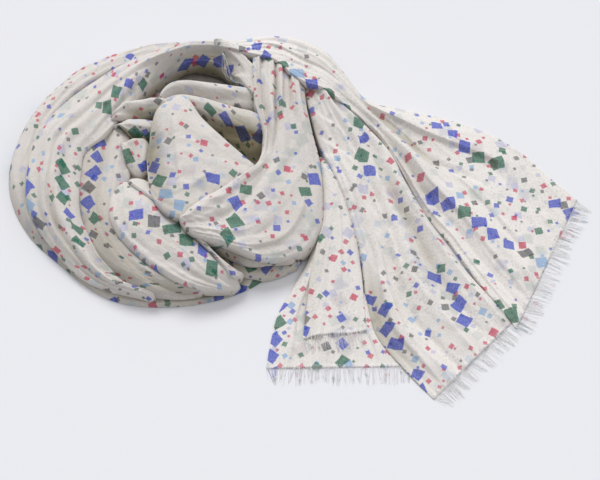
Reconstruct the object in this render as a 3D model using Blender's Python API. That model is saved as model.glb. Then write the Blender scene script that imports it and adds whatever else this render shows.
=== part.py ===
"""A fine wool stole, wound into a loose coil on a flat surface, with one fringed end fanned out.

Every stretch of cloth that shows is a thin wall of its own, lofted through the sections in a short
table and then laid on what is below it. The hidden layers inside the coil are one rounded mound.
Lengths in the tables are millimetres; the meshes are in metres. X runs right, Y away, Z up.
"""

import math
import random

import bmesh
import bpy
import numpy as np
from mathutils.bvhtree import BVHTree

MILLIMETRE = 0.001

# Driving sizes, in millimetres.
CLOTH = 1.2  # thickness of a stretch's wall
LAY_GAP = 0.45  # air above what is laid when a stretch is first draped over it
FLOOR_EASE = 9.0  # height above the floor over which the lowering grows to its full amount
SETTLE_SPARE = 0.2  # kept over the seam's gap while a stretch is lowered onto what carries it
FARTHEST_SEAT = 20.0  # a stretch further than this from the rest stands on the floor alone
SEAM_GAP = 0.3  # air between a hem and the strip that holds its fringe
COIL_CENTRE = (-172.0, 95.0)
FOOT_WIDTH = 14.0  # flat underside of the outermost turn, where it rolls under
FULL_FOLD_WIDTH = 85.0  # a stretch narrower than this has its folds flattened in proportion
ORIGIN = (-2.49, 33.79)  # the layout's point that stands at the part's origin

MOUND_RADIUS = 161.0
MOUND_HEIGHT = 27.0
MOUND_LAYERS = 4

STRAND_LENGTH = 17.0
STRAND_PITCH = 4.4
STRAND_WIDTH = 1.5
STRAND_TIP = 0.5
BACKING_WIDTH = 2.6
BACKING_HEIGHT = 1.0

# The bed is a height map of what is already laid, which the next stretch rests on.
BED_CELL = 2.0
BED_REACH = (420.0, 350.0)

COLOURS = {
    "cloth": (0.86, 0.84, 0.78, 1.0),
    "under_cloth": (0.72, 0.69, 0.58, 1.0),
    "fringe": (0.90, 0.88, 0.84, 1.0),
}

# Sections of the outermost turn, by their angle about the coil's centre:
# angle in degrees, outer radius, inner radius, outer height, inner height, crown.
OUTER_TURN = (
    (52, 224, 180, 16, 30, 16),
    (75, 218, 172, 5, 32, 24),
    (100, 213, 168, 2, 32, 28),
    (130, 213, 168, 1, 32, 28),
    (160, 214, 172, 1, 28, 24),
    (185, 213, 174, 1, 22, 20),
    (205, 202, 165, 1, 14, 15),
    (225, 191, 155, 1, 9, 12),
    (250, 198, 157, 1, 8, 10),
    (275, 196, 155, 1, 8, 9),
    (300, 200, 160, 1, 8, 9),
    (322, 206, 168, 1, 9, 8),
)

# Sections of every other stretch: left edge x, y, z; right edge x, y, z; crown above the chord.
LEFT_TURN = (
    (-30, 186, 52, -58, 188, 40, 6),
    (-51, 224, 56, -81, 226, 36, 10),
    (-77, 258, 58, -91, 244, 36, 10),
    (-106, 277, 58, -114, 262, 35, 10),
    (-141, 282, 56, -148, 263, 34, 10),
    (-183, 272, 52, -192, 234, 32, 12),
    (-233, 254, 46, -220, 204, 34, 13),
    (-274, 226, 42, -242, 169, 36, 15),
    (-314, 189, 38, -267, 133, 40, 15),
    (-344, 149, 34, -289, 112, 40, 15),
    (-355, 104, 30, -293, 76, 36, 15),
    (-351, 29, 22, -289, 12, 34, 13),
    (-334, -3, 14, -279, -13, 31, 12),
    (-311, -31, 9, -266, -38, 27, 11),
    (-282, -61, 6, -247, -57, 22, 9),
    (-247, -82, 4, -221, -74, 17, 7),
    (-213, -92, 3, -198, -80, 11, 4),
    (-189, -99, 3, -172, -84, 6, 2),
)
INNER_LEFT = (
    (-266, 170, 40, -229, 169, 36, 6),
    (-275, 142, 38, -227, 133, 36, 8),
    (-286, 101, 36, -226, 93, 34, 9),
    (-286, 55, 34, -228, 46, 34, 10),
    (-278, 11, 31, -229, 0, 34, 10),
    (-264, -31, 26, -212, -38, 32, 10),
    (-234, -66, 20, -182, -67, 30, 9),
    (-190, -89, 13, -149, -82, 26, 8),
    (-147, -95, 8, -116, -87, 20, 5),
)
LOW_LEAF = (
    (-235, 55, 44, -229, 64, 44, 3),
    (-243, 35, 42, -199, 47, 42, 9),
    (-244, 11, 40, -175, 25, 42, 12),
    (-235, -14, 37, -154, 2, 40, 14),
    (-214, -39, 33, -133, -20, 37, 14),
    (-188, -61, 26, -112, -42, 34, 14),
    (-157, -80, 17, -91, -62, 28, 13),
    (-128, -89, 9, -74, -72, 18, 10),
    (-106, -91, 5, -64, -77, 10, 6),
)
HIGH_LEAF = (
    (-226, 60, 46, -208, 69, 44, 4),
    (-204, 41, 46, -182, 49, 44, 6),
    (-177, 19, 45, -159, 17, 46, 7),
    (-151, -6, 43, -138, -11, 44, 7),
    (-127, -31, 39, -117, -36, 40, 7),
    (-103, -55, 33, -91, -58, 32, 6),
    (-84, -76, 20, -68, -64, 19, 3),
)
UPPER_BAND = (
    (-149, 6, 34, -152, -4, 30, 3),
    (-123, -5, 32, -128, -23, 22, 7),
    (-95, -17, 28, -100, -39, 16, 9),
    (-64, -27, 24, -67, -53, 12, 10),
    (-32, -29, 22, -35, -50, 12, 9),
    (-5, -28, 20, -5, -44, 12, 6),
)
LOWER_BAND = (
    (-100, -28, 20, -102, -43, 16, 3),
    (-77, -38, 17, -79, -61, 8, 6),
    (-49, -39, 14, -51, -64, 6, 7),
    (-23, -35, 12, -24, -57, 6, 6),
    (0, -29, 12, 0, -44, 7, 4),
)
BACK_COWL = (
    (-189, 186, 44, -186, 169, 36, 2),
    (-186, 201, 56, -181, 185, 42, 4),
    (-173, 213, 62, -163, 196, 44, 6),
    (-153, 216, 64, -139, 191, 42, 7),
    (-125, 213, 64, -112, 179, 40, 7),
    (-96, 209, 63, -85, 171, 38, 7),
    (-69, 206, 60, -64, 168, 38, 6),
    (-45, 202, 54, -45, 171, 38, 4),
)
MIDDLE_COWL = (
    (-191, 172, 46, -186, 156, 40, 2),
    (-183, 184, 56, -175, 166, 40, 4),
    (-164, 190, 62, -151, 161, 38, 5),
    (-135, 186, 63, -125, 144, 34, 6),
    (-103, 176, 62, -98, 121, 30, 7),
    (-74, 168, 60, -71, 100, 28, 8),
    (-48, 165, 57, -50, 88, 28, 8),
    (-32, 167, 52, -37, 86, 30, 6),
)
FRONT_COWL = (
    (-197, 110, 46, -200, 70, 40, 3),
    (-197, 137, 54, -194, 36, 40, 6),
    (-190, 162, 60, -180, 14, 40, 10),
    (-174, 177, 64, -161, -1, 40, 14),
    (-153, 184, 65, -138, -4, 40, 17),
    (-129, 151, 61, -113, 13, 42, 17),
    (-100, 122, 55, -85, 37, 43, 14),
    (-71, 96, 48, -62, 55, 44, 8),
    (-49, 78, 44, -47, 64, 44, 3),
)
FRONT_SWAG = (
    (-51, 259, 54, -5, 252, 50, 6),
    (-51, 224, 56, 4, 218, 50, 8),
    (-48, 184, 56, 8, 183, 48, 9),
    (-47, 135, 52, 16, 141, 44, 9),
    (-55, 84, 47, 26, 95, 36, 10),
    (-78, 61, 46, 29, 47, 28, 13),
    (-106, 38, 46, 26, 3, 20, 15),
    (-128, 20, 46, 0, -37, 20, 15),
    (-141, 8, 46, -48, -51, 28, 13),
    (-148, -1, 45, -94, -39, 38, 9),
    (-158, -4, 44, -134, -30, 40, 4),
)
BACK_ROLL = (
    (-242, 170, 40, -237, 159, 36, 4),
    (-229, 180, 48, -224, 166, 36, 6),
    (-210, 184, 50, -205, 169, 36, 7),
    (-186, 182, 50, -186, 169, 36, 7),
    (-170, 178, 46, -170, 166, 36, 5),
)
MIDDLE_ROLL = (
    (-236, 151, 38, -233, 144, 34, 3),
    (-223, 155, 44, -220, 138, 34, 6),
    (-205, 157, 46, -202, 133, 34, 8),
    (-188, 152, 46, -188, 130, 34, 7),
    (-175, 149, 42, -174, 128, 34, 5),
)
FRONT_ROLL = (
    (-227, 124, 36, -232, 110, 32, 4),
    (-213, 128, 42, -223, 90, 34, 6),
    (-200, 128, 42, -206, 74, 34, 6),
    (-192, 124, 40, -196, 71, 34, 4),
)
FAN_BACK = (
    (-82, 288, 50, -76, 266, 52, 5),
    (-52, 295, 50, -43, 256, 54, 8),
    (0, 293, 46, -3, 222, 50, 14),
    (35, 277, 38, 30, 211, 40, 16),
    (62, 245, 28, 62, 192, 32, 14),
    (89, 212, 16, 101, 161, 24, 12),
    (138, 204, 8, 135, 109, 16, 10),
    (192, 192, 4, 170, 35, 8, 8),
    (245, 172, 2, 197, -13, 6, 6),
    (295, 137, 1, 228, -66, 3, 3),
    (334, 93, 1, 255, -105, 1, 1),
    (365, 62, 1, 273, -132, 1, 0),
)
FAN_MIDDLE = (
    (-4, 240, 46, 32, 236, 46, 6),
    (8, 198, 42, 51, 199, 40, 9),
    (19, 154, 34, 83, 165, 32, 10),
    (29, 120, 27, 117, 126, 24, 10),
    (52, 66, 18, 139, 79, 17, 10),
    (68, 14, 12, 162, 34, 12, 9),
    (80, -38, 8, 186, -10, 9, 8),
    (85, -92, 4, 210, -47, 7, 8),
    (98, -147, 1, 235, -80, 5, 6),
    (131, -192, 1, 254, -104, 2, 2),
    (165, -232, 1, 267, -124, 1, 0),
)
FAN_PLEAT = (
    (26, 95, 26, 50, 81, 24, 6),
    (29, 49, 20, 65, 43, 18, 8),
    (25, -1, 14, 74, -8, 13, 8),
    (15, -52, 8, 78, -51, 8, 8),
    (9, -102, 5, 81, -94, 5, 5),
    (4, -148, 3, 83, -138, 3, 3),
)
FAN_UNDER = (
    (23, 0, 10, 41, -6, 10, 5),
    (10, -37, 6, 58, -37, 6, 6),
    (-10, -77, 3, 79, -78, 4, 5),
    (-28, -113, 1, 101, -118, 1, 3),
    (-36, -149, 1, 123, -149, 1, 1),
    (-42, -189, 1, 136, -186, 1, 0),
)

# Folds that run along a stretch. Each has its place across the stretch (0 left edge, 1 right edge)
# at the start and at the end, its height at the start and at the end, its width, and its lean,
# which carries the ridge sideways: start_place, end_place, start_height, end_height, width, lean.
FOLDS = {
    "outer_turn": (
        (0.45, 0.40, -3.0, -2.0, 0.10, 0.0),
        (0.75, 0.62, -3.0, -2.5, 0.08, 0.0),
    ),
    "left_turn": (
        (0.30, 0.22, -1.0, -6.0, 0.07, 0.0),
        (0.55, 0.48, -1.0, -7.0, 0.07, 0.0),
        (0.82, 0.74, -0.5, -5.0, 0.06, 0.0),
        (0.40, 0.36, 0.5, 3.0, 0.06, 0.0),
        (0.70, 0.62, 0.5, 3.0, 0.06, 0.0),
    ),
    "inner_left": (
        (0.50, 0.45, -4.0, -4.0, 0.10, 0.0),
    ),
    "low_leaf": (
        (0.62, 0.58, -1.0, -2.5, 0.10, 0.0),
    ),
    "front_cowl": (
        (0.35, 0.42, -1.5, -3.0, 0.12, 0.0),
    ),
    "front_swag": (
        (0.28, 0.10, -10.0, 3.0, 0.09, 0.0),
        (0.55, 0.50, -11.0, 3.0, 0.10, 0.0),
        (0.80, 0.85, -7.0, 2.0, 0.08, 0.0),
    ),
    "fan_back": (
        (0.20, 0.12, 4.0, 1.5, 0.08, 0.0),
        (0.62, 0.20, -6.0, -4.0, 0.10, 0.0),
        (0.78, 0.66, 2.0, 7.0, 0.09, 0.0),
        (0.90, 0.84, -2.0, -4.0, 0.07, 0.0),
    ),
    "fan_middle": (
        (0.22, 0.20, 3.0, 2.5, 0.07, 0.0),
        (0.40, 0.36, -4.0, -3.5, 0.08, 0.0),
        (0.60, 0.52, 4.0, 3.0, 0.08, 0.0),
        (0.78, 0.72, -5.0, -3.0, 0.08, 0.0),
        (0.95, 0.93, 4.0, 5.0, 0.07, 0.0),
    ),
    "fan_pleat": (
        (0.50, 0.45, -3.0, -1.5, 0.12, 0.0),
    ),
    "fan_under": (
        (0.35, 0.30, -2.5, 0.0, 0.10, 0.0),
        (0.65, 0.68, -2.5, 0.0, 0.10, 0.0),
    ),
}

# The stretches in the order in which they lie, lowest first: name, sections, spans along, spans across.
LAID = (
    ("fan_under", FAN_UNDER, 10, 8),
    ("fan_pleat", FAN_PLEAT, 10, 6),
    ("outer_turn", OUTER_TURN, 38, 5),
    ("fan_middle", FAN_MIDDLE, 18, 12),
    ("lower_band", LOWER_BAND, 8, 4),
    ("inner_left", INNER_LEFT, 16, 6),
    ("back_cowl", BACK_COWL, 10, 5),
    ("middle_cowl", MIDDLE_COWL, 10, 6),
    ("left_turn", LEFT_TURN, 36, 11),
    ("back_roll", BACK_ROLL, 6, 4),
    ("middle_roll", MIDDLE_ROLL, 6, 4),
    ("front_roll", FRONT_ROLL, 6, 5),
    ("low_leaf", LOW_LEAF, 14, 7),
    ("upper_band", UPPER_BAND, 8, 4),
    ("high_leaf", HIGH_LEAF, 12, 5),
    ("front_cowl", FRONT_COWL, 12, 10),
    ("front_swag", FRONT_SWAG, 18, 11),
    ("fan_back", FAN_BACK, 18, 14),
)

# The fringed hems: the fringe's name, the stretch, and the share of the hem it covers.
FRINGES = (
    ("fringe_under", "fan_under", 0.0, 1.0),
    ("fringe_pleat", "fan_pleat", 0.04, 0.96),
    ("fringe_back", "fan_back", 0.0, 0.97),
    ("fringe_middle", "fan_middle", 0.02, 1.0),
)


def clear_scene():
    for item in list(bpy.data.objects):
        bpy.data.objects.remove(item, do_unlink=True)


def make_material(name, colour):
    material = bpy.data.materials.new(name)
    material.use_nodes = True
    shader = material.node_tree.nodes["Principled BSDF"]
    shader.inputs["Base Color"].default_value = colour
    shader.inputs["Roughness"].default_value = 0.9
    shader.inputs["Metallic"].default_value = 0.0
    return material


def turn_to_sections(rows, centre):
    """Sections of a turn, given by angle and radii, as left and right edge points."""
    sections = []
    for angle, outer, inner, outer_height, inner_height, crown in rows:
        across = np.array((math.cos(math.radians(angle)), math.sin(math.radians(angle))))
        left = np.array(centre) + across * outer
        right = np.array(centre) + across * inner
        sections.append((left[0], left[1], outer_height, right[0], right[1], inner_height, crown))
    return sections


def smooth_sections(rows, spans):
    """Even sections along the smooth curve through the table's rows."""
    table = np.array(rows, dtype=float)
    middle = (table[:, 0:3] + table[:, 3:6]) / 2
    steps = np.linalg.norm(np.diff(middle, axis=0), axis=1)
    stations = np.concatenate(((0.0,), np.cumsum(steps)))
    slopes = np.gradient(table, stations, axis=0)
    wanted = np.linspace(0.0, stations[-1], spans + 1)
    index = np.clip(np.searchsorted(stations, wanted, side="right") - 1, 0, len(table) - 2)
    span = (stations[index + 1] - stations[index])[:, None]
    t = (wanted - stations[index])[:, None] / span
    start = (2 * t**3 - 3 * t**2 + 1) * table[index]
    start_slope = (t**3 - 2 * t**2 + t) * span * slopes[index]
    end = (3 * t**2 - 2 * t**3) * table[index + 1]
    end_slope = (t**3 - t**2) * span * slopes[index + 1]
    return start + start_slope + end + end_slope


def fold_height(folds, along, across, width_share):
    """Height that the folds add at each place along and across a stretch."""
    height = np.zeros(np.broadcast(along, across).shape)
    fade = np.clip(4 * across * (1 - across), 0.0, 1.0) ** 0.5
    ease = along * along * (3 - 2 * along)
    for start_place, end_place, start_height, end_height, width, lean in folds:
        place = start_place + (end_place - start_place) * ease
        offset = (across - place) / width
        ridge = np.exp(-offset * offset * (1 + lean * np.sign(offset)))
        height += (start_height + (end_height - start_height) * ease) * ridge
    return height * fade * width_share


def stretch_grid(name, rows, spans_along, spans_across):
    """Points of a stretch's middle surface, before it is laid down."""
    if name == "outer_turn":
        rows = turn_to_sections(rows, COIL_CENTRE)
    sections = smooth_sections(rows, spans_along)
    place = np.linspace(0.0, 1.0, spans_across + 1)
    across = (0.5 - 0.5 * np.cos(math.pi * place))[None, :]
    along = np.linspace(0.0, 1.0, spans_along + 1)[:, None]
    left = sections[:, None, 0:3]
    right = sections[:, None, 3:6]
    grid = left + (right - left) * across[..., None]
    chord = np.linalg.norm(sections[:, 3:5] - sections[:, 0:2], axis=1)[:, None]
    width_share = np.clip(chord / FULL_FOLD_WIDTH, 0.0, 1.0)
    crown = np.clip(sections[:, 6:7], 0.0, None) * (4 * across * (1 - across)) ** 0.62
    grid[..., 2] += crown + fold_height(FOLDS.get(name, ()), along, across, width_share)
    grid[..., 2] = np.maximum(grid[..., 2], CLOTH / 2)
    if name == "outer_turn":
        grid = with_foot(grid)
    return grid


def with_foot(grid):
    """The same stretch with its outer edge rolled under, flat on the floor."""
    inward = grid[:, -1:, :2] - grid[:, :1, :2]
    inward /= np.linalg.norm(inward, axis=2, keepdims=True)
    foot = []
    for reach in (FOOT_WIDTH, 2.5):
        column = grid[:, :1].copy()
        column[..., :2] += inward * reach
        column[..., 2] = CLOTH / 2
        foot.append(column)
    edge = grid[:, :1].copy()
    edge[..., 2] += 2.0
    return np.concatenate((*foot, edge, grid[:, 1:]), axis=1)


def refine(grid, times):
    """The same surface with each span split, for comparing heights between its points."""
    for axis in (0, 1):
        count = grid.shape[axis]
        places = np.linspace(0, count - 1, (count - 1) * times + 1)
        low = np.clip(places.astype(int), 0, count - 2)
        share = places - low
        shape = [1, 1, 1]
        shape[axis] = len(share)
        share = share.reshape(shape)
        grid = np.take(grid, low, axis=axis) * (1 - share) + np.take(grid, low + 1, axis=axis) * share
    return grid


def bed_cells(points):
    columns = np.rint((points[..., 0] + BED_REACH[0]) / BED_CELL).astype(int)
    rows = np.rint((points[..., 1] + BED_REACH[1]) / BED_CELL).astype(int)
    return rows, columns


def new_bed():
    rows = int(2 * BED_REACH[1] / BED_CELL) + 1
    columns = int(2 * BED_REACH[0] / BED_CELL) + 1
    return np.zeros((rows, columns))


def widened(bed):
    """Each cell with the height of the highest cell beside it."""
    tall = bed.copy()
    for row_shift in (-1, 0, 1):
        for column_shift in (-1, 0, 1):
            tall = np.maximum(tall, np.roll(bed, (row_shift, column_shift), axis=(0, 1)))
    return tall


def add_to_bed(bed, upper):
    fine = refine(upper, 12)
    rows, columns = bed_cells(fine)
    np.maximum.at(bed, (rows, columns), fine[..., 2])


def lay_down(grid, bed):
    """Raise a stretch wherever it would dip into what is already laid."""
    times = 6
    tall = widened(bed)
    for _ in range(12):
        fine = refine(grid, times)
        need = tall[bed_cells(fine)] + CLOTH / 2 + LAY_GAP - fine[..., 2]
        need[tall[bed_cells(fine)] <= 0.0] = 0.0
        if need.max() < 0.03:
            break
        rise = np.zeros(grid.shape[:2])
        for row in range(grid.shape[0]):
            for column in range(grid.shape[1]):
                top, side = row * times, column * times
                patch = need[max(top - times, 0):top + times + 1, max(side - times, 0):side + times + 1]
                rise[row, column] = max(patch.max(), 0.0)
        grid[..., 2] += np.maximum(rise, soften(rise))
    return grid


def soften(field):
    """The field averaged with its neighbours, which spreads a rise over a few spans."""
    padded = np.pad(field, 1, mode="edge")
    total = np.zeros(field.shape)
    for row_shift in (0, 1, 2):
        for column_shift in (0, 1, 2):
            total += padded[row_shift:row_shift + field.shape[0], column_shift:column_shift + field.shape[1]]
    return total / 9


def skins(grid):
    """Upper and lower skins of a stretch, half the cloth away from its middle surface."""
    normal = np.cross(np.gradient(grid, axis=0), np.gradient(grid, axis=1))
    normal /= np.linalg.norm(normal, axis=2, keepdims=True)
    if normal[..., 2].mean() < 0:
        normal = -normal
    upper = grid + normal * CLOTH / 2
    lower = grid - normal * CLOTH / 2
    facing_up = normal[..., 2] > 0.3
    on_floor = facing_up & (lower[..., 2] < CLOTH / 2)
    lower[..., 2] = np.where(on_floor, 0.0, lower[..., 2])
    upper[..., 2] = np.where(facing_up, np.maximum(upper[..., 2], lower[..., 2] + CLOTH * 0.7), upper[..., 2])
    return upper, lower


def wall_faces(rows, columns):
    """Faces of the closed wall between an upper and a lower skin."""
    below = rows * columns
    faces = []
    for row in range(rows - 1):
        for column in range(columns - 1):
            a = row * columns + column
            faces.append((a, a + 1, a + columns + 1, a + columns))
            faces.append((below + a, below + a + columns, below + a + columns + 1, below + a + 1))
    rim = list(range(columns - 1))
    rim += [row * columns + columns - 1 for row in range(rows - 1)]
    rim += [(rows - 1) * columns + column for column in range(columns - 1, 0, -1)]
    rim += [row * columns for row in range(rows - 1, 0, -1)]
    for here, after in zip(rim, rim[1:] + rim[:1]):
        faces.append((here, below + here, below + after, after))
    return faces


def nearest_gap(tree, points):
    """Smallest distance from any of the points to a surface."""
    gap = 99.0
    for point in points:
        found = tree.find_nearest(point, gap)
        if found[0] is not None:
            gap = min(gap, found[3])
    return gap


def settle(grid, laid):
    """Lower a stretch until it lies a seam's gap from the piece that carries it."""
    for _ in range(8):
        upper, lower = skins(grid)
        samples = np.concatenate((refine(upper, 3).reshape(-1, 3), refine(lower, 3).reshape(-1, 3)))
        own = BVHTree.FromPolygons(
            np.concatenate((upper.reshape(-1, 3), lower.reshape(-1, 3))).tolist(),
            wall_faces(*upper.shape[:2]),
        )
        gap = 99.0
        for tree, corners in laid:
            gap = min(gap, nearest_gap(tree, samples), nearest_gap(own, corners))
        if gap < SEAM_GAP + SETTLE_SPARE * 1.5 or gap > FARTHEST_SEAT:
            break
        share = np.clip((grid[..., 2] - CLOTH) / FLOOR_EASE, 0.0, 1.0)
        grid[..., 2] -= (gap - SEAM_GAP - SETTLE_SPARE) * share
    return grid


def add_object(name, points, faces, material):
    origin = np.array((ORIGIN[0], ORIGIN[1], 0.0))
    mesh = bpy.data.meshes.new(name)
    mesh.from_pydata([tuple((point - origin) * MILLIMETRE) for point in points], [], faces)
    build = bmesh.new()
    build.from_mesh(mesh)
    bmesh.ops.triangulate(build, faces=build.faces[:])
    bmesh.ops.recalc_face_normals(build, faces=build.faces[:])
    build.to_mesh(mesh)
    build.free()
    mesh.shade_smooth()
    mesh.materials.append(material)
    item = bpy.data.objects.new(name, mesh)
    bpy.context.scene.collection.objects.link(item)
    return item


def add_wall(name, upper, lower, material):
    """A closed wall between two skins."""
    points = np.concatenate((upper.reshape(-1, 3), lower.reshape(-1, 3)))
    faces = wall_faces(*upper.shape[:2])
    add_object(name, points, faces, material)
    return BVHTree.FromPolygons(points.tolist(), faces), points


def mound_grid():
    """The hidden layers: rounded steps that rise in a slow spiral to a shallow top."""
    rings = 4 * MOUND_LAYERS
    sides = 30
    profile = []
    for ring in range(rings + 1):
        share = ring / rings
        layer = share * MOUND_LAYERS
        step = math.floor(layer)
        rounding = math.sin((layer - step) * math.pi / 2) ** 0.8
        height = (step + rounding) / MOUND_LAYERS
        radius = 1.0 - 0.62 * (step + (layer - step) ** 2.2) / MOUND_LAYERS
        profile.append((radius, min(height, 1.0)))
    points = []
    for radius, height in profile:
        for side in range(sides):
            turn = 2 * math.pi * side / sides
            spread = 1 + 0.03 * math.sin(2 * turn + 0.6) + 0.015 * math.sin(5 * turn)
            reach = MOUND_RADIUS * radius * spread
            rise = MOUND_HEIGHT * height * (1 + 0.05 * math.sin(turn * 3 + radius * 5))
            points.append((
                COIL_CENTRE[0] + reach * math.cos(turn),
                COIL_CENTRE[1] + reach * math.sin(turn),
                rise,
            ))
    points.append((COIL_CENTRE[0], COIL_CENTRE[1], MOUND_HEIGHT * 0.94))
    return np.array(points), len(profile), sides


def add_mound(name, bed, material):
    points, levels, sides = mound_grid()
    apex = levels * sides
    faces = []
    for level in range(levels - 1):
        for side in range(sides):
            after = (side + 1) % sides
            a, b = level * sides + side, level * sides + after
            faces.append((a, b, b + sides, a + sides))
    for side in range(sides):
        after = (side + 1) % sides
        faces.append(((levels - 1) * sides + side, (levels - 1) * sides + after, apex))
    faces.append(tuple(range(sides - 1, -1, -1)))
    rings = points[:apex].reshape(levels, sides, 3)
    closed = np.concatenate((rings, rings[:, :1]), axis=1)
    centre = np.broadcast_to(points[apex], closed[:1].shape)
    add_to_bed(bed, np.concatenate((closed, centre)))
    add_object(name, points, faces, material)
    return BVHTree.FromPolygons(points.tolist(), faces), points


def fringe_rows(grid, start, end):
    """Points along a hem, with the way along it and the way out from it."""
    hem = grid[-1]
    before = grid[-2]
    steps = np.linalg.norm(np.diff(hem[:, :2], axis=0), axis=1)
    stations = np.concatenate(((0.0,), np.cumsum(steps)))
    count = max(2, int(round(stations[-1] * (end - start) / STRAND_PITCH))) * 2
    wanted = np.linspace(stations[-1] * start, stations[-1] * end, count + 1)
    points = np.stack([np.interp(wanted, stations, hem[:, axis]) for axis in range(3)], axis=1)
    inner = np.stack([np.interp(wanted, stations, before[:, axis]) for axis in range(3)], axis=1)
    along = np.gradient(points[:, :2], axis=0)
    along /= np.linalg.norm(along, axis=1, keepdims=True)
    out = np.stack((along[:, 1], -along[:, 0]), axis=1)
    if np.sum(out * (points - inner)[:, :2]) < 0:
        out = -out
    return points, along, out


def bed_height(bed, spots):
    """Height of what is laid around each spot, at least the floor."""
    spots = np.asarray(spots, dtype=float)
    return widened(bed)[bed_cells(spots)]


def add_fringe(name, grid, bed, start, end, material):
    """A narrow strip along a hem, with a row of tapering strands drawn out of its front."""
    chance = random.Random(name)
    points, along, out = fringe_rows(grid, start, end)
    count = len(points)
    near = points[:, :2] + out * (CLOTH / 2 + SEAM_GAP)
    far = near + out * BACKING_WIDTH
    support = np.maximum(bed_height(bed, near), bed_height(bed, far))
    hem_base = np.where(points[:, 2] < CLOTH, 0.0, points[:, 2] - CLOTH / 2)
    base = np.maximum(hem_base, np.where(support > 0.0, support + LAY_GAP, 0.0))
    vertices = []
    for index in range(count):
        corners = (
            (near[index], 0.0),
            (near[index], BACKING_HEIGHT),
            (far[index], BACKING_HEIGHT),
            (far[index], 0.0),
        )
        for spot, height in corners:
            vertices.append((spot[0], spot[1], base[index] + height))
    faces = [(0, 1, 2, 3), tuple(4 * (count - 1) + corner for corner in (3, 2, 1, 0))]
    for index in range(count - 1):
        here, after = 4 * index, 4 * index + 4
        for corner in range(4):
            following = (corner + 1) % 4
            if corner == 2 and index % 2 == 0:
                continue
            faces.append((here + corner, after + corner, after + following, here + following))
    drift = chance.uniform(0.0, 6.0)
    for index in range(0, count - 1, 2):
        ring = [4 * index + 2, 4 * index + 6, 4 * index + 7, 4 * index + 3]
        root = (np.array(vertices[ring[0]]) + np.array(vertices[ring[1]])) / 2
        sway = 0.16 * math.sin(index * 0.21 + drift) + chance.uniform(-0.05, 0.05)
        heading = out[index] + along[index] * sway
        heading = heading / np.linalg.norm(heading)
        side = np.array((-heading[1], heading[0]))
        if np.dot(side, along[index]) < 0:
            side = -side
        length = STRAND_LENGTH * chance.uniform(0.72, 1.0)
        curl = chance.uniform(-0.45, 0.45)
        lift = chance.uniform(0.1, 1.4)
        for share, width, thickness, bend in (
            (0.45, STRAND_WIDTH * 0.6, 0.7, 0.4),
            (1.0, STRAND_TIP, 0.4, 1.0),
        ):
            spot = root[:2] + heading * length * share + side * curl * bend
            support = float(bed_height(bed, spot))
            bottom = max(base[index] * (1 - share) * 0.6, support + LAY_GAP if support > 0 else 0.0)
            bottom += 0.25 + lift * 4 * share * (1 - share)
            first = len(vertices)
            for sign, height in ((-1, thickness), (1, thickness), (1, 0.0), (-1, 0.0)):
                corner_spot = spot + side * width * sign / 2
                vertices.append((corner_spot[0], corner_spot[1], bottom + height))
            for corner in range(4):
                following = (corner + 1) % 4
                faces.append((ring[corner], ring[following], first + following, first + corner))
            ring = [first, first + 1, first + 2, first + 3]
        faces.append(tuple(ring))
    vertices = np.array(vertices)
    ends = vertices[: 4 * count].reshape(count, 4, 3)
    add_to_bed(bed, ends)
    cells = bed_cells(vertices)
    np.maximum.at(bed, cells, vertices[:, 2])
    add_object(name, vertices, faces, material)
    return BVHTree.FromPolygons(vertices.tolist(), faces), vertices


def main():
    clear_scene()
    cloth = make_material("cloth", COLOURS["cloth"])
    under_cloth = make_material("under_cloth", COLOURS["under_cloth"])
    fringe = make_material("fringe", COLOURS["fringe"])
    bed = new_bed()
    laid = [add_mound("heap_core", bed, under_cloth)]
    hems = {stretch: (name, start, end) for name, stretch, start, end in FRINGES}
    for name, rows, spans_along, spans_across in LAID:
        grid = lay_down(stretch_grid(name, rows, spans_along, spans_across), bed)
        grid = settle(grid, laid)
        upper, lower = skins(grid)
        laid.append(add_wall(name, upper, lower, cloth))
        if name in hems:
            fringe_name, start, end = hems[name]
            laid.append(add_fringe(fringe_name, grid, bed, start, end, fringe))
        add_to_bed(bed, upper)


main()
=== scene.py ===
"""A printed wool stole wound into a loose coil, with one fringed end fanned out.

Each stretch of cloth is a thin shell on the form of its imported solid, with its folds and wrinkles.
Lengths in the tables and grids are millimetres in the layout frame; the meshes are in metres.
"""

import math

import bpy
import numpy as np
from mathutils.bvhtree import BVHTree
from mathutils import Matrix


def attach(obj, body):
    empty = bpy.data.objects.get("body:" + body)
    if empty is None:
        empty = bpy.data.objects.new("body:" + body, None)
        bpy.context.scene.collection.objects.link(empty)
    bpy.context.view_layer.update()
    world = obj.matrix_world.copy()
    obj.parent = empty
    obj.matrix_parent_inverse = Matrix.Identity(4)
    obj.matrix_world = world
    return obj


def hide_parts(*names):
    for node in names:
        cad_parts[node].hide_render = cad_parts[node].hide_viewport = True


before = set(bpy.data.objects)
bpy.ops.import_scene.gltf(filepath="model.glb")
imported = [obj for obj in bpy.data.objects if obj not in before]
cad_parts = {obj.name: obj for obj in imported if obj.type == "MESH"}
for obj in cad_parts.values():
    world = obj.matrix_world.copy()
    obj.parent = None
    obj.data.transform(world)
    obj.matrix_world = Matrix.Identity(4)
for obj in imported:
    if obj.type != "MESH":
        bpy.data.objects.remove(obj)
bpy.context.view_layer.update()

MILLIMETRE = 0.001
CLOTH = 1.2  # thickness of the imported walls, which the shells follow
SHELL = 0.5  # thickness of the shells
LAY_GAP = 0.35  # air under a shell where it lies on another
COIL_CENTRE = (-172.0, 95.0)
FULL_FOLD_WIDTH = 85.0  # a stretch's width from which its folds have their full height
FULL_CREASE_WIDTH = 40.0  # and its creases, pleats and wrinkles
ORIGIN = (-2.49, 33.79)  # the layout's point that stands at the part's origin
ROW_SPACING = 2.4  # between a shell's points along it
COLUMN_SPACING = 1.4  # and across it, where most folds turn
FOLD_DROP = 1.6  # how far a sharp fold takes to drop off
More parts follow.
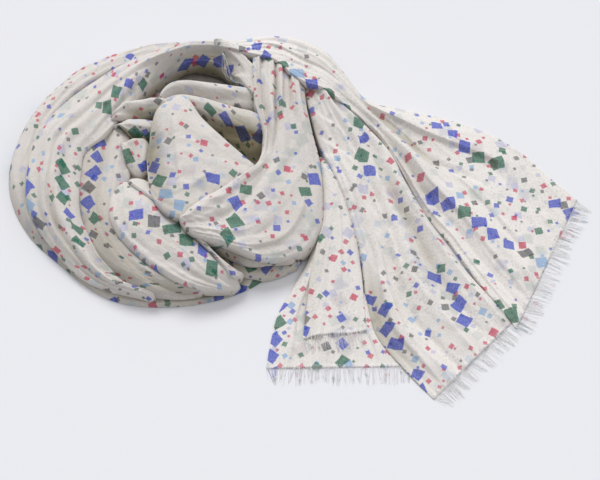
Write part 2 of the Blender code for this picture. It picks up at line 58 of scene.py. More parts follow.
CREASE_STEPS = 25  # straight steps along a crease's bowed line
CREASE_FADE = 0.3  # share of a crease's length over which an end within the cloth fades
SETTLE_REACHES = (4, 3, 2, 1)  # how widely, in points, a shell is raised over what it meets

MOUND_RADIUS = 161.0
MOUND_HEIGHT = 27.0
MOUND_LAYERS = 4

# The bed is the height field of everything laid so far.
BED_CELL = 1.25
BED_REACH = (420.0, 350.0)
BED_FINENESS = 3  # how much finer than its points a shell is laid on the bed

# How far the sky over a place is looked at, in how many directions, and what height is left out.
SKY_REACHES = (7, 11, 16, 23, 32, 45, 60)
SKY_TURNS = 12
SKY_CLEARANCE = 2.0

CAMERA_HEIGHT_ANGLE = 58.0
CAMERA_DISTANCE = 2.4
CAMERA_LENS = 110.8
SENSOR_WIDTH = 36.0
STUDIO_LIGHT = (0.97, 0.98, 1.0, 1.0)
STUDIO_STRENGTH = 0.43
# The lamps: name, where the light comes from, strength, angular size.
LAMPS = (
    ("soft_overhead", (-0.30, 0.95, 1.0), 1.98, 0.42),
    ("side_fill", (0.95, 0.10, 1.0), 0.45, 0.9),
)

THREADS_PER_MM = 1.9
TUFT_SPACING = 3.4
STRAND_LENGTH = 25.0
THREAD_RINGS = 7
HELD_ROWS = 2  # rows of the cloth that the threads lie over before its hem
THREAD_CLEARANCE = 0.34  # from the cloth's middle to a thread that lies on it
ARCH_THREAD_COUNT = 5

OVERHANG_PAINTED_SHADE = 0.6  # how much painted shade a fully overhung place takes
# painted shade on the hidden core, as a share of how much of its sky is hidden
CORE_PAINTED_SHADE = 0.15
FAN_CHAIN_GAP = 90.0  # between the streams of large squares
COIL_CHAIN_GAP = 64.0
THREAD_INK = 0.65
WEAVE_PITCH = 0.9

# Sections of the outermost turn, by their angle about the coil's centre:
# angle in degrees, outer radius, inner radius, outer height, inner height, crown.
OUTER_TURN = (
    (52, 224, 180, 16, 30, 16),
    (75, 218, 172, 5, 32, 24),
    (100, 213, 168, 2, 32, 28),
    (130, 213, 168, 1, 32, 28),
    (160, 214, 172, 1, 28, 24),
    (185, 213, 174, 1, 22, 20),
    (205, 202, 165, 1, 14, 15),
    (225, 191, 155, 1, 9, 12),
    (250, 198, 157, 1, 8, 10),
    (275, 196, 155, 1, 8, 9),
    (300, 200, 160, 1, 8, 9),
    (322, 206, 168, 1, 9, 8),
)

# Sections of every other stretch: left edge x, y, z; right edge x, y, z; crown above the chord.
LEFT_TURN = (
    (-30, 186, 52, -58, 188, 40, 6),
    (-51, 224, 56, -81, 226, 36, 10),
    (-77, 258, 58, -91, 244, 36, 10),
    (-106, 277, 58, -114, 262, 35, 10),
    (-141, 282, 56, -148, 263, 34, 10),
    (-183, 272, 52, -192, 234, 32, 12),
    (-233, 254, 46, -220, 204, 34, 13),
    (-274, 226, 42, -242, 169, 36, 15),
    (-314, 189, 38, -267, 133, 40, 15),
    (-344, 149, 34, -289, 112, 40, 15),
    (-355, 104, 30, -293, 76, 36, 15),
    (-351, 29, 22, -289, 12, 34, 13),
    (-334, -3, 14, -279, -13, 31, 12),
    (-311, -31, 9, -266, -38, 27, 11),
    (-282, -61, 6, -247, -57, 22, 9),
    (-247, -82, 4, -221, -74, 17, 7),
    (-213, -92, 3, -198, -80, 11, 4),
    (-189, -99, 3, -172, -84, 6, 2),
)
INNER_LEFT = (
    (-266, 170, 40, -229, 169, 36, 6),
    (-275, 142, 38, -227, 133, 36, 8),
    (-286, 101, 36, -226, 93, 34, 9),
    (-286, 55, 34, -228, 46, 34, 10),
    (-278, 11, 31, -229, 0, 34, 10),
    (-264, -31, 26, -212, -38, 32, 10),
    (-234, -66, 20, -182, -67, 30, 9),
    (-190, -89, 13, -149, -82, 26, 8),
    (-147, -95, 8, -116, -87, 20, 5),
)
LOW_LEAF = (
    (-235, 55, 44, -229, 64, 44, 3),
    (-243, 35, 42, -199, 47, 42, 9),
    (-244, 11, 40, -175, 25, 42, 12),
    (-235, -14, 37, -154, 2, 40, 14),
    (-214, -39, 33, -133, -20, 37, 14),
    (-188, -61, 26, -112, -42, 34, 14),
    (-157, -80, 17, -91, -62, 28, 13),
    (-128, -89, 9, -74, -72, 18, 10),
    (-106, -91, 5, -64, -77, 10, 6),
)
HIGH_LEAF = (
    (-226, 60, 46, -208, 69, 44, 4),
    (-204, 41, 46, -182, 49, 44, 6),
    (-177, 19, 45, -159, 17, 46, 7),
    (-151, -6, 43, -138, -11, 44, 7),
    (-127, -31, 39, -117, -36, 40, 7),
    (-103, -55, 33, -91, -58, 32, 6),
    (-84, -76, 20, -68, -64, 19, 3),
)
UPPER_BAND = (
    (-149, 6, 34, -152, -4, 30, 3),
    (-123, -5, 32, -128, -23, 22, 7),
    (-95, -17, 28, -100, -39, 16, 9),
    (-64, -27, 24, -67, -53, 12, 10),
    (-32, -29, 22, -35, -50, 12, 9),
    (-5, -28, 20, -5, -44, 12, 6),
)
LOWER_BAND = (
    (-100, -28, 20, -102, -43, 16, 3),
    (-77, -38, 17, -79, -61, 8, 6),
    (-49, -39, 14, -51, -64, 6, 7),
    (-23, -35, 12, -24, -57, 6, 6),
    (0, -29, 12, 0, -44, 7, 4),
)
BACK_COWL = (
    (-189, 186, 44, -186, 169, 36, 2),
    (-186, 201, 56, -181, 185, 42, 4),
    (-173, 213, 62, -163, 196, 44, 6),
    (-153, 216, 64, -139, 191, 42, 7),
    (-125, 213, 64, -112, 179, 40, 7),
    (-96, 209, 63, -85, 171, 38, 7),
    (-69, 206, 60, -64, 168, 38, 6),
    (-45, 202, 54, -45, 171, 38, 4),
)
MIDDLE_COWL = (
    (-191, 172, 46, -186, 156, 40, 2),
    (-183, 184, 56, -175, 166, 40, 4),
    (-164, 190, 62, -151, 161, 38, 5),
    (-135, 186, 63, -125, 144, 34, 6),
    (-103, 176, 62, -98, 121, 30, 7),
    (-74, 168, 60, -71, 100, 28, 8),
    (-48, 165, 57, -50, 88, 28, 8),
    (-32, 167, 52, -37, 86, 30, 6),
)
FRONT_COWL = (
    (-197, 110, 46, -200, 70, 40, 3),
    (-197, 137, 54, -194, 36, 40, 6),
    (-190, 162, 60, -180, 14, 40, 10),
    (-174, 177, 64, -161, -1, 40, 14),
    (-153, 184, 65, -138, -4, 40, 17),
    (-129, 151, 61, -113, 13, 42, 17),
    (-100, 122, 55, -85, 37, 43, 14),
    (-71, 96, 48, -62, 55, 44, 8),
    (-49, 78, 44, -47, 64, 44, 3),
)
FRONT_SWAG = (
    (-51, 259, 54, -5, 252, 50, 6),
    (-51, 224, 56, 4, 218, 50, 8),
    (-48, 184, 56, 8, 183, 48, 9),
    (-47, 135, 52, 16, 141, 44, 9),
    (-55, 84, 47, 26, 95, 36, 10),
    (-78, 61, 46, 29, 47, 28, 13),
    (-106, 38, 46, 26, 3, 20, 15),
    (-128, 20, 46, 0, -37, 20, 15),
    (-141, 8, 46, -48, -51, 28, 13),
    (-148, -1, 45, -94, -39, 38, 9),
    (-158, -4, 44, -134, -30, 40, 4),
)
BACK_ROLL = (
    (-242, 170, 40, -237, 159, 36, 4),
    (-229, 180, 48, -224, 166, 36, 6),
    (-210, 184, 50, -205, 169, 36, 7),
    (-186, 182, 50, -186, 169, 36, 7),
    (-170, 178, 46, -170, 166, 36, 5),
)
MIDDLE_ROLL = (
    (-236, 151, 38, -233, 144, 34, 3),
    (-223, 155, 44, -220, 138, 34, 6),
    (-205, 157, 46, -202, 133, 34, 8),
    (-188, 152, 46, -188, 130, 34, 7),
    (-175, 149, 42, -174, 128, 34, 5),
)
FRONT_ROLL = (
    (-227, 124, 36, -232, 110, 32, 4),
    (-213, 128, 42, -223, 90, 34, 6),
    (-200, 128, 42, -206, 74, 34, 6),
    (-192, 124, 40, -196, 71, 34, 4),
)
FAN_BACK = (
    (-82, 288, 50, -76, 266, 52, 5),
    (-52, 295, 50, -43, 256, 54, 8),
    (0, 293, 46, -3, 222, 50, 14),
    (35, 277, 38, 30, 211, 40, 16),
    (62, 245, 28, 62, 192, 32, 14),
    (89, 212, 16, 101, 161, 24, 12),
    (138, 204, 8, 135, 109, 16, 10),
    (192, 192, 4, 170, 35, 8, 8),
    (245, 172, 2, 197, -13, 6, 6),
    (295, 137, 1, 228, -66, 3, 3),
    (334, 93, 1, 255, -105, 1, 1),
    (365, 62, 1, 273, -132, 1, 0),
)
FAN_MIDDLE = (
    (-4, 240, 46, 32, 236, 46, 6),
    (8, 198, 42, 51, 199, 40, 9),
    (19, 154, 34, 83, 165, 32, 10),
    (29, 120, 27, 117, 126, 24, 10),
    (52, 66, 18, 139, 79, 17, 10),
    (68, 14, 12, 162, 34, 12, 9),
    (80, -38, 8, 186, -10, 9, 8),
    (85, -92, 4, 210, -47, 7, 8),
    (98, -147, 1, 235, -80, 5, 6),
    (131, -192, 1, 254, -104, 2, 2),
    (165, -232, 1, 267, -124, 1, 0),
)
FAN_PLEAT = (
    (26, 95, 26, 50, 81, 24, 6),
    (29, 49, 20, 65, 43, 18, 8),
    (25, -1, 14, 74, -8, 13, 8),
    (15, -52, 8, 78, -51, 8, 8),
    (9, -102, 5, 81, -94, 5, 5),
    (4, -148, 3, 83, -138, 3, 3),
)
FAN_UNDER = (
    (23, 0, 10, 41, -6, 10, 5),
    (10, -37, 6, 58, -37, 6, 6),
    (-10, -77, 3, 79, -78, 4, 5),
    (-28, -113, 1, 101, -118, 1, 3),
    (-36, -149, 1, 123, -149, 1, 1),
    (-42, -189, 1, 136, -186, 1, 0),
)

# Folds that run along a stretch: place across it (0 left edge, 1 right edge) at the start and at
# the end, height at the start and at the end, width.
FOLDS = {
    "outer_turn": (
        (0.45, 0.4, -3, -2, 0.1), (0.75, 0.62, -3, -2.5, 0.08),
    ),
    "left_turn": (
        (0.3, 0.22, -1, -6, 0.07), (0.55, 0.48, -1, -7, 0.07), (0.82, 0.74, -0.5, -5, 0.06),
        (0.4, 0.36, 0.5, 3, 0.06), (0.7, 0.62, 0.5, 3, 0.06),
    ),
    "inner_left": ((0.5, 0.45, -4, -4, 0.1),),
    "low_leaf": ((0.62, 0.58, -1, -2.5, 0.1),),
    "front_cowl": ((0.35, 0.42, -1.5, -3, 0.12),),
    "front_swag": (
        (0.28, 0.1, -10, 3, 0.09), (0.55, 0.5, -11, 3, 0.1), (0.8, 0.85, -7, 2, 0.08),
    ),
    "fan_back": (
        (0.2, 0.12, 4, 1.5, 0.08), (0.62, 0.2, -6, -4, 0.1), (0.78, 0.66, 2, 7, 0.09),
        (0.9, 0.84, -2, -4, 0.07),
    ),
    "fan_middle": (
        (0.22, 0.2, 3, 2.5, 0.07), (0.4, 0.36, -4, -3.5, 0.08), (0.6, 0.52, 4, 3, 0.08),
        (0.78, 0.72, -5, -3, 0.08), (0.95, 0.93, 4, 5, 0.07),
    ),
    "fan_pleat": ((0.5, 0.45, -3, -1.5, 0.12),),
    "fan_under": (
        (0.35, 0.3, -2.5, 0, 0.1), (0.65, 0.68, -2.5, 0, 0.1),
    ),
}

# The stretches in the order in which they lie, lowest first: name, sections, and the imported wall's
# spans along and across.
LAID = (
    ("fan_under", FAN_UNDER, 10, 8),
    ("fan_pleat", FAN_PLEAT, 10, 6),
    ("outer_turn", OUTER_TURN, 38, 5),
    ("fan_middle", FAN_MIDDLE, 18, 12),
    ("lower_band", LOWER_BAND, 8, 4),
    ("inner_left", INNER_LEFT, 16, 6),
    ("back_cowl", BACK_COWL, 10, 5),
    ("middle_cowl", MIDDLE_COWL, 10, 6),
    ("left_turn", LEFT_TURN, 36, 11),
    ("back_roll", BACK_ROLL, 6, 4),
    ("middle_roll", MIDDLE_ROLL, 6, 4),
    ("front_roll", FRONT_ROLL, 6, 5),
    ("low_leaf", LOW_LEAF, 14, 7),
    ("upper_band", UPPER_BAND, 8, 4),
    ("high_leaf", HIGH_LEAF, 12, 5),
    ("front_cowl", FRONT_COWL, 12, 10),
    ("front_swag", FRONT_SWAG, 18, 11),
    ("fan_back", FAN_BACK, 18, 14),
)

# Creases, each a soft ridge (height above 0) or trough along a bowed line, or with a
# lean of 1 or -1 a fold that drops off sharply on its right or left side:
# along_start, across_start, along_end, across_end, bow across, height, width, lean.
CREASES = {
    "outer_turn": (
        (0.02, 0.55, 0.42, 0.34, 0, -4, 7, 0), (0.05, 0.18, 0.36, 0.2, 0, 2.5, 8, 0),
        (0.16, 0.8, 0.52, 0.62, 0.03, -3, 6, 0), (0.34, 0.22, 0.72, 0.3, -0.06, 3, 7, 0),
        (0.42, 0.42, 0.84, 0.52, 0.05, -3.5, 6, 0), (0.55, 0.7, 1, 0.46, 0, 2.5, 5, 0),
        (0.62, 0.14, 0.98, 0.22, 0.03, -2.5, 6, 0),
    ),
    "left_turn": (
        (0.06, 0.55, 0.36, 0.36, 0, 5, 11, -1), (0.02, 0.3, 0.3, 0.22, 0, -2.5, 6, 0),
        (0.57, 0.66, 0.96, 0.1, 0.08, -5, 4, 0), (0.6, 0.86, 1, 0.55, 0.05, 5, 10, -1),
        (0.54, 0.48, 0.92, 0.08, 0.04, 4, 10, 1), (0.42, 0.28, 0.85, 0.03, 0, 2.5, 8, 0),
        (0.3, 0.7, 0.56, 0.9, 0, 4, 9, -1), (0.24, 0.35, 0.54, 0.52, 0.04, 2.5, 12, 0),
        (0.66, 0.7, 0.98, 0.36, 0.02, -3, 3, 0),
    ),
    "inner_left": (
        (0.1, 0.05, 0.98, 0.06, 0, -7, 7, 0), (0.02, 0.3, 0.45, 0.62, 0.05, -3, 6, 0),
        (0.06, 0.78, 0.52, 0.7, 0, 4.5, 9, 1), (0.3, 0.3, 0.95, 0.42, 0.05, 4.5, 10, -1),
        (0.45, 0.68, 1, 0.62, 0, -3.5, 5, 0),
    ),
    "low_leaf": (
        (0.02, 0.3, 0.85, 0.22, -0.05, 2, 12, 0), (0.05, 0.56, 1, 0.55, 0.08, 3.5, 10, -1),
        (0.04, 0.08, 0.62, 0.06, 0, 3, 4, 0), (0.1, 0.92, 0.95, 0.92, 0, 2.5, 4, 0),
        (0.35, 0.1, 0.95, 0.38, 0, -2.5, 6, 0),
    ),
    "high_leaf": (
        (0.02, 0.4, 0.95, 0.45, 0.08, 2, 5, 0), (0.1, 0.75, 0.9, 0.7, 0, -2, 4, 0),
    ),
    "upper_band": (
        (0.02, 0.38, 0.98, 0.36, 0.05, 3, 6, 1), (0.1, 0.8, 1, 0.78, 0, 2.5, 4, 1),
    ),
    "lower_band": ((0.02, 0.45, 0.98, 0.42, 0.05, 3, 5, 1),),
    "back_cowl": (
        (0.05, 0.25, 0.95, 0.2, 0.05, 3, 6, 0), (0.1, 0.5, 0.9, 0.45, 0.08, -3, 7, 0),
        (0.3, 0.75, 1, 0.7, 0, 2.5, 6, 0),
    ),
    "middle_cowl": (
        (0.05, 0.2, 0.98, 0.15, 0.03, 2.5, 6, 0), (0.2, 0.42, 0.98, 0.38, 0.06, 3.5, 10, 1),
        (0.25, 0.82, 1, 0.86, 0, -7, 13, 0),
    ),
    "front_cowl": (
        (0.23, 0.04, 0.3, 0.94, 0, 4, 11, 1), (0.5, 0.04, 0.42, 0.9, 0, 2.5, 16, 0),
        (0.62, 0.1, 0.6, 0.8, 0, -2, 12, 0), (0.1, 0.2, 0.14, 0.8, 0, -3, 8, 0),
        (0.5, 0.05, 0.95, 0.1, 0.02, 3, 4, 0), (0.34, 0.8, 0.6, 0.62, 0, 2.5, 7, 1),
    ),
    "front_swag": (
        (0, 0.27, 0.45, 0.18, 0, 5.5, 5, 0), (0, 0.55, 0.45, 0.53, 0, 6, 6, 0),
        (0, 0.8, 0.4, 0.83, 0, 4, 5, 0), (0, 0.1, 0.52, 0.05, 0, 6, 5, -1),
        (0, 0.15, 0.5, 0.09, 0, -4, 2, 0), (0, 0.34, 0.46, 0.16, 0.02, 8, 7, -1),
        (0, 0.39, 0.44, 0.2, 0.02, -4, 2, 0), (0.02, 0.55, 0.34, 0.34, 0.03, 7, 6, -1),
        (0, 0.74, 0.34, 0.66, 0.03, 7, 5, 1), (0, 0.69, 0.32, 0.61, 0.03, -4, 2, 0),
        (0.04, 0.86, 0.55, 0.92, 0, 6, 5, -1), (0.4, 0.05, 1, 0.08, 0, 3.5, 5, 0),
        (0.45, 0.2, 0.95, 0.26, 0.03, -3, 8, 0), (0.3, 0.44, 0.88, 0.58, 0, 3, 16, 0),
        (0.52, 0.8, 1, 0.7, 0.03, 3.5, 9, -1), (0.6, 0.62, 1, 0.55, 0.03, -2, 6, 0),
        (0.52, 0.94, 1, 0.9, 0, 2.5, 5, 0),
    ),
    "back_roll": (
        (0, 0.22, 1, 0.2, 0, 3, 4, 1), (0.05, 0.8, 1, 0.72, 0, -3, 5, 0),
    ),
    "middle_roll": (
        (0, 0.45, 1, 0.5, 0, 3, 7, 1), (0, 0.88, 0.9, 0.9, 0, -4, 4, 0),
    ),
    "front_roll": (
        (0.75, 0, 0.8, 1, 0, 3.5, 4, 1), (0.3, 0.05, 0.35, 0.95, 0, -3, 4, 0),
        (0.05, 0.05, 0.1, 0.95, 0, 2.5, 4, 0),
    ),
    "fan_back": (
        (0, 0.3, 0.4, 0.34, 0, -3, 5, 0), (0.04, 0.52, 0.4, 0.56, 0, 3, 8, 1),
        (0, 0.76, 0.36, 0.78, 0, -3, 5, 0), (0.36, 0.36, 0.84, 0.16, 0, 6, 13, 1),
        (0.37, 0.66, 0.82, 0.36, 0, -7, 8, 0), (0.3, 0.93, 1, 0.95, 0, 4, 4, 1),
        (0.5, 0.72, 1, 0.78, 0, 4, 10, 1), (0.46, 0.84, 1, 0.87, 0, -4.5, 5, 0),
        (0.62, 0.48, 1, 0.56, 0, 3, 12, 1), (0.74, 0.24, 1, 0.24, 0, -2.5, 8, 0),
    ),
    "fan_middle": (
        (0, 0.22, 0.38, 0.26, 0, -4.5, 5, 0), (0.06, 0.46, 0.76, 0.42, -0.03, 7, 10, -1),
        (0, 0.66, 0.32, 0.64, 0, 5, 7, -1), (0.24, 0.74, 1, 0.74, 0, -7, 9, 0),
        (0.34, 0.92, 1, 0.94, 0, 6.5, 5, -1), (0.3, 0.2, 1, 0.24, 0, 6, 11, -1),
        (0.5, 0.34, 1, 0.36, 0, -5, 5, 0), (0.56, 0.56, 1, 0.57, 0, 6, 9, -1),
        (0.6, 0.16, 1, 0.15, 0, 5.5, 8, 1), (0.6, 0.05, 1, 0.05, 0, -4, 5, 0),
    ),
    "fan_pleat": (
        (0, 0.55, 0.95, 0.6, 0, 3.5, 9, -1), (0.2, 0.16, 1, 0.14, 0, 3, 5, 1),
        (0.3, 0.36, 1, 0.34, 0, -2.5, 5, 0),
    ),
    "fan_under": (
        (0, 0.22, 1, 0.16, 0, 4, 8, -1), (0, 0.45, 1, 0.42, 0, 3, 9, 0),
        (0.1, 0.8, 1, 0.8, 0, 3, 9, 1), (0.2, 0.3, 1, 0.27, 0, -3, 4, 0),
    ),
}

# Fine overlapping pleats that come and go along a stretch: height, spacing across.
PLEATS = {
    "outer_turn": (2.2, 19),
    "left_turn": (1.5, 19),
    "inner_left": (1.2, 20),
    "low_leaf": (1.2, 26),
    "back_cowl": (1.2, 20),
    "middle_cowl": (1.0, 24),
    "front_swag": (1.0, 28),
    "fan_back": (1.8, 30),
    "fan_middle": (2.0, 27),
    "fan_pleat": (1.4, 24),
    "fan_under": (1.6, 30),
    "upper_band": (2.0, 11),
    "lower_band": (1.6, 11),
}

# Loose wrinkles on each stretch: height, spacing across, spacing along, crumple height.
WRINKLES = {
    "outer_turn": (1.7, 15, 75, 0.35),
    "left_turn": (1.4, 17, 70, 0.35),
    "inner_left": (1.3, 17, 60, 0.35),
    "low_leaf": (1.2, 18, 60, 0.30),
    "high_leaf": (1.0, 10, 45, 0.25),
    "upper_band": (1.1, 10, 50, 0.25),
    "lower_band": (1.1, 10, 50, 0.25),
    "back_cowl": (1.6, 14, 55, 0.30),
    "middle_cowl": (1.6, 16, 60, 0.30),
    "front_cowl": (1.4, 24, 50, 0.35),
    "front_swag": (1.5, 20, 60, 0.35),
    "back_roll": (0.8, 9, 35, 0.25),
    "middle_roll": (0.8, 9, 35, 0.25),
    "front_roll": (0.8, 10, 30, 0.25),
    "fan_back": (1.9, 20, 80, 0.35),
    "fan_middle": (1.8, 18, 80, 0.35),
    "fan_pleat": (1.0, 14, 60, 0.25),
    "fan_under": (1.2, 18, 60, 0.25),
}

# How the print lies on a stretch: "flow" follows its length, or the angle of the cloth's length in
# plan, in degrees; then the print's shift in millimetres.
PRINT_LIE = {
    "outer_turn": ("flow", 31, 400),
    "left_turn": ("flow", 172, 250),
    "inner_left": ("flow", 286, 120),
    "low_leaf": (-38, 120, 420),
    "high_leaf": ("flow", 411, 310),
    "upper_band": ("flow", 530, 75),
    "lower_band": ("flow", 655, 700),
    "back_cowl": ("flow", 800, 60),
    "middle_cowl": ("flow", 905, 830),
    "front_cowl": (-62, 1030, 530),
    "front_swag": (-118, 1170, 520),
    "back_roll": ("flow", 1290, 900),
    "middle_roll": ("flow", 1400, 60),
    "front_roll": ("flow", 1520, 350),
    "fan_back": (-40, 1650, 610),
    "fan_middle": (-64, 1775, 150),
    "fan_pleat": (-92, 1903, 720),
    "fan_under": (-90, 2030, 330),
    "heap_core": ("flow", 2150, 180),
}

# The fringed hems: the fringe's name and its stretch.
FRINGES = (
    ("fringe_under", "fan_under"),
    ("fringe_pleat", "fan_pleat"),
    ("fringe_back", "fan_back"),
    ("fringe_middle", "fan_middle"),
)
HEMMED = tuple(stretch for _, stretch in FRINGES)
HEM_DROP = 32.0  # length over which a hem comes down to lie flat
HEM_LET_DOWN = 0.85  # share of its height over what it lies on that it loses
END_ROUNDING = 0.45  # length of a rounded end, as a share of the stretch's width

# How far a stretch's shell laps past its solid on its left and right edges, over what is beside it,
# how far along the stretch it does so, and how far the lapped edges come down.
LAPS = {
    "left_turn": (0.0, 8.0, 1.0, 0.0),
    "inner_left": (12.0, 4.0, 1.0, 0.0),
    "middle_roll": (3.0, 3.0, 1.0, 0.0),
    "back_roll": (3.0, 3.0, 1.0, 0.0),
    "front_roll": (3.0, 3.0, 1.0, 0.0),
    "front_swag": (12.0, 0.0, 0.34, 3.0),
    "fan_back": (0.0, 7.0, 0.70, 9.0),
}

# Where a stretch's shell starts to narrow along it, the place across that it narrows to, and the
# share of its width that is left at its end.
TAPERS = {
    "left_turn": (0.80, 0.15, 0.30),
    "low_leaf": (0.84, 0.45, 0.55),
}

# Painted shade in hollows where little light reaches the cloth: along, across, reach along, reach
# across, strength.
PAINTED_SHADE_HOLLOWS = {
    "outer_turn": (
        (0.62, 0.3, 0.1, 0.4, 0.12), (0.88, 0.5, 0.12, 0.5, 0.14),
    ),
    "left_turn": (
        (0.17, 0.88, 0.1, 0.2, 0.3), (0.72, 1, 0.16, 0.1, 0.14), (0.76, 0.38, 0.14, 0.06, 0.1),
    ),
    "inner_left": (
        (0.45, 0.3, 0.4, 0.4, 0.22), (0.8, 0.5, 0.22, 0.3, 0.2),
    ),
    "back_cowl": ((0.5, 0.85, 0.4, 0.22, 0.16),),
    "middle_cowl": ((0.78, 0.58, 0.28, 0.4, 0.55),),
    "front_cowl": (
        (0.05, 0.45, 0.1, 0.5, 0.42), (0.18, 0.8, 0.07, 0.22, 0.16), (0.4, 0.95, 0.2, 0.12, 0.14),
    ),
    "back_roll": ((0.55, 0.8, 0.35, 0.28, 0.36),),
    "middle_roll": ((0.3, 0.95, 0.4, 0.18, 0.42),),
    "front_roll": ((0.4, 0.5, 0.14, 0.5, 0.22),),
    "upper_band": ((0.5, 0.62, 0.45, 0.22, 0.14),),
    "lower_band": ((0.5, 0.6, 0.45, 0.4, 0.16),),
    "front_swag": (
        (0.22, 0.06, 0.16, 0.08, 0.12), (0.92, 0.8, 0.14, 0.2, 0.1),
    ),
    "fan_back": ((0.52, 0.52, 0.13, 0.12, 0.22),),
    "fan_middle": (
        (0.8, 0.03, 0.13, 0.12, 0.32), (0.58, 0.74, 0.26, 0.09, 0.14),
    ),
    "fan_pleat": ((0.55, 0, 0.4, 0.18, 0.12),),
    "fan_under": ((0.55, 0.28, 0.35, 0.1, 0.1),),
}

# How far a stretch's shell reaches past its solid's first section, and how far it sinks there.
LEADS = {
    "front_swag": (22.0, 6.0),
    "fan_back": (40.0, 12.0),
    "fan_pleat": (30.0, 12.0),
    "back_roll": (14.0, 9.0),
    "middle_roll": (13.0, 9.0),
    "front_roll": (10.0, 6.0),
}

# How far a folded edge comes down at most, and the left edges that hang free and fall further.
EDGE_FALL = 26.0
FREE_FALL = {"fan_back": 56.0}
EDGE_TUCK = 5.0  # how far a folded edge goes in under its shell at most
END_TUCK = 0.4
# A folded edge adds a column to its shell at each of these shares of its turn.
TURN_SHARES = (0.15, 0.32, 0.52, 0.74, 0.90, 1.0)
TURNED_COLUMNS = len(TURN_SHARES)

# The line of the loose threads that hang from the arch onto the back cowl.
ARCH_THREAD = (
    (-104, 259, 61), (-103, 252, 57), (-102, 243, 53), (-101, 232, 52), (-98, 222, 56),
    (-92, 213, 63), (-84, 208, 65.5), (-76, 206, 65),
)


def eased(share):
    """The share with a soft start and a soft end."""
    return share * share * (3 - 2 * share)


def unit(ways, least=1e-9):
    """The ways at length one; shorter ones than the least stay short."""
    return ways / np.maximum(np.linalg.norm(ways, axis=-1, keepdims=True), least)


def stations_along(points):
    """Distance from the first point to each, along the line through them."""
    steps = np.linalg.norm(np.diff(points, axis=0), axis=1)
    return np.concatenate(((0.0,), np.cumsum(steps)))


def resting_height(below):
    """Height of a shell's middle where it lies on what is below it, or on the floor."""
    return np.where(below > 0.0, below + LAY_GAP, 0.0) + SHELL / 2


def grid_faces(index):
    """Faces between the neighbouring points of a grid of point numbers."""
    corners = (index[:-1, :-1], index[:-1, 1:], index[1:, 1:], index[1:, :-1])
    return np.stack([corner.ravel() for corner in corners], axis=1)


def soft_noise(x, y, seed):
    """Smooth noise of about -1 to 1, with one wave to about two units."""
    angles = np.random.RandomState(seed).uniform(0, 2 * math.pi, (256, 256))
    column, row = np.floor(x).astype(int), np.floor(y).astype(int)
    s, t = x - column, y - row

    def corner(a, b):
        angle = angles[(row + b) % 256, (column + a) % 256]
        return np.cos(angle) * (s - a) + np.sin(angle) * (t - b)

    ease_s = s * s * s * (s * (s * 6 - 15) + 10)
    ease_t = t * t * t * (t * (t * 6 - 15) + 10)
    near = corner(0, 0) * (1 - ease_s) + corner(1, 0) * ease_s
    far = corner(0, 1) * (1 - ease_s) + corner(1, 1) * ease_s
    return 1.5 * (near * (1 - ease_t) + far * ease_t)


def turn_to_sections(rows, centre):
    """Sections of a turn, given by angle and radii, as left and right edge points."""
    sections = []
    for angle, outer, inner, outer_height, inner_height, crown in rows:
        across = np.array((math.cos(math.radians(angle)), math.sin(math.radians(angle))))
        left = np.array(centre) + across * outer
        right = np.array(centre) + across * inner
        sections.append((left[0], left[1], outer_height, right[0], right[1], inner_height, crown))
    return sections


def smooth_sections(rows, spans):
    """Even sections along the smooth curve through the table's rows."""
    table = np.array(rows, dtype=float)
    stations = stations_along((table[:, 0:3] + table[:, 3:6]) / 2)
    slopes = np.gradient(table, stations, axis=0)
    wanted = np.linspace(0.0, stations[-1], spans + 1)
    index = np.clip(np.searchsorted(stations, wanted, side="right") - 1, 0, len(table) - 2)
    span = (stations[index + 1] - stations[index])[:, None]
    t = (wanted - stations[index])[:, None] / span
    start = (2 * t**3 - 3 * t**2 + 1) * table[index]
    start_slope = (t**3 - 2 * t**2 + t) * span * slopes[index]
    end = (3 * t**2 - 2 * t**3) * table[index + 1]
    end_slope = (t**3 - t**2) * span * slopes[index + 1]
    return start + start_slope + end + end_slope


def fold_height(folds, along, across, width_share):
    """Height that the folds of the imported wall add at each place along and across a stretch."""
    height = np.zeros(np.broadcast(along, across).shape)
    fade = np.clip(4 * across * (1 - across), 0.0, 1.0) ** 0.5
    ease = eased(along)
    for start_place, end_place, start_height, end_height, width in folds:
        place = start_place + (end_place - start_place) * ease
        offset = (across - place) / width
        tall = start_height + (end_height - start_height) * ease
        height += tall * np.exp(-offset * offset)
    return height * fade * width_share


def places_across(spans):
    """Places across a stretch, closer together towards its edges."""
    return 0.5 - 0.5 * np.cos(math.pi * np.linspace(0.0, 1.0, spans + 1))


def stretch_grid(name, rows, spans_along, spans_across):
    """Points of a stretch's middle surface, before it is laid down."""
    sections = smooth_sections(rows, spans_along)
    across = places_across(spans_across)[None, :]
    along = np.linspace(0.0, 1.0, spans_along + 1)[:, None]
    left = sections[:, None, 0:3]
    right = sections[:, None, 3:6]
    grid = left + (right - left) * across[..., None]
    chord = np.linalg.norm(sections[:, 3:5] - sections[:, 0:2], axis=1)[:, None]
    width_share = np.clip(chord / FULL_FOLD_WIDTH, 0.0, 1.0)
    crown = np.clip(sections[:, 6:7], 0.0, None) * (4 * across * (1 - across)) ** 0.62
    grid[..., 2] += crown + fold_height(FOLDS.get(name, ()), along, across, width_share)
    grid[..., 2] = np.maximum(grid[..., 2], CLOTH / 2)
    return grid


def resampled(field, shape):
    """The field read at evenly spaced places, with the wanted number along each of its axes."""
    for axis in (0, 1):
        count = field.shape[axis]
        places = np.linspace(0, count - 1, shape[axis])
        low = np.clip(places.astype(int), 0, count - 2)
        form = [1] * field.ndim
        form[axis] = len(places)
        share = eased(places - low).reshape(form)
        before, after = np.take(field, low, axis=axis), np.take(field, low + 1, axis=axis)
        field = before * (1 - share) + after * share
    return field


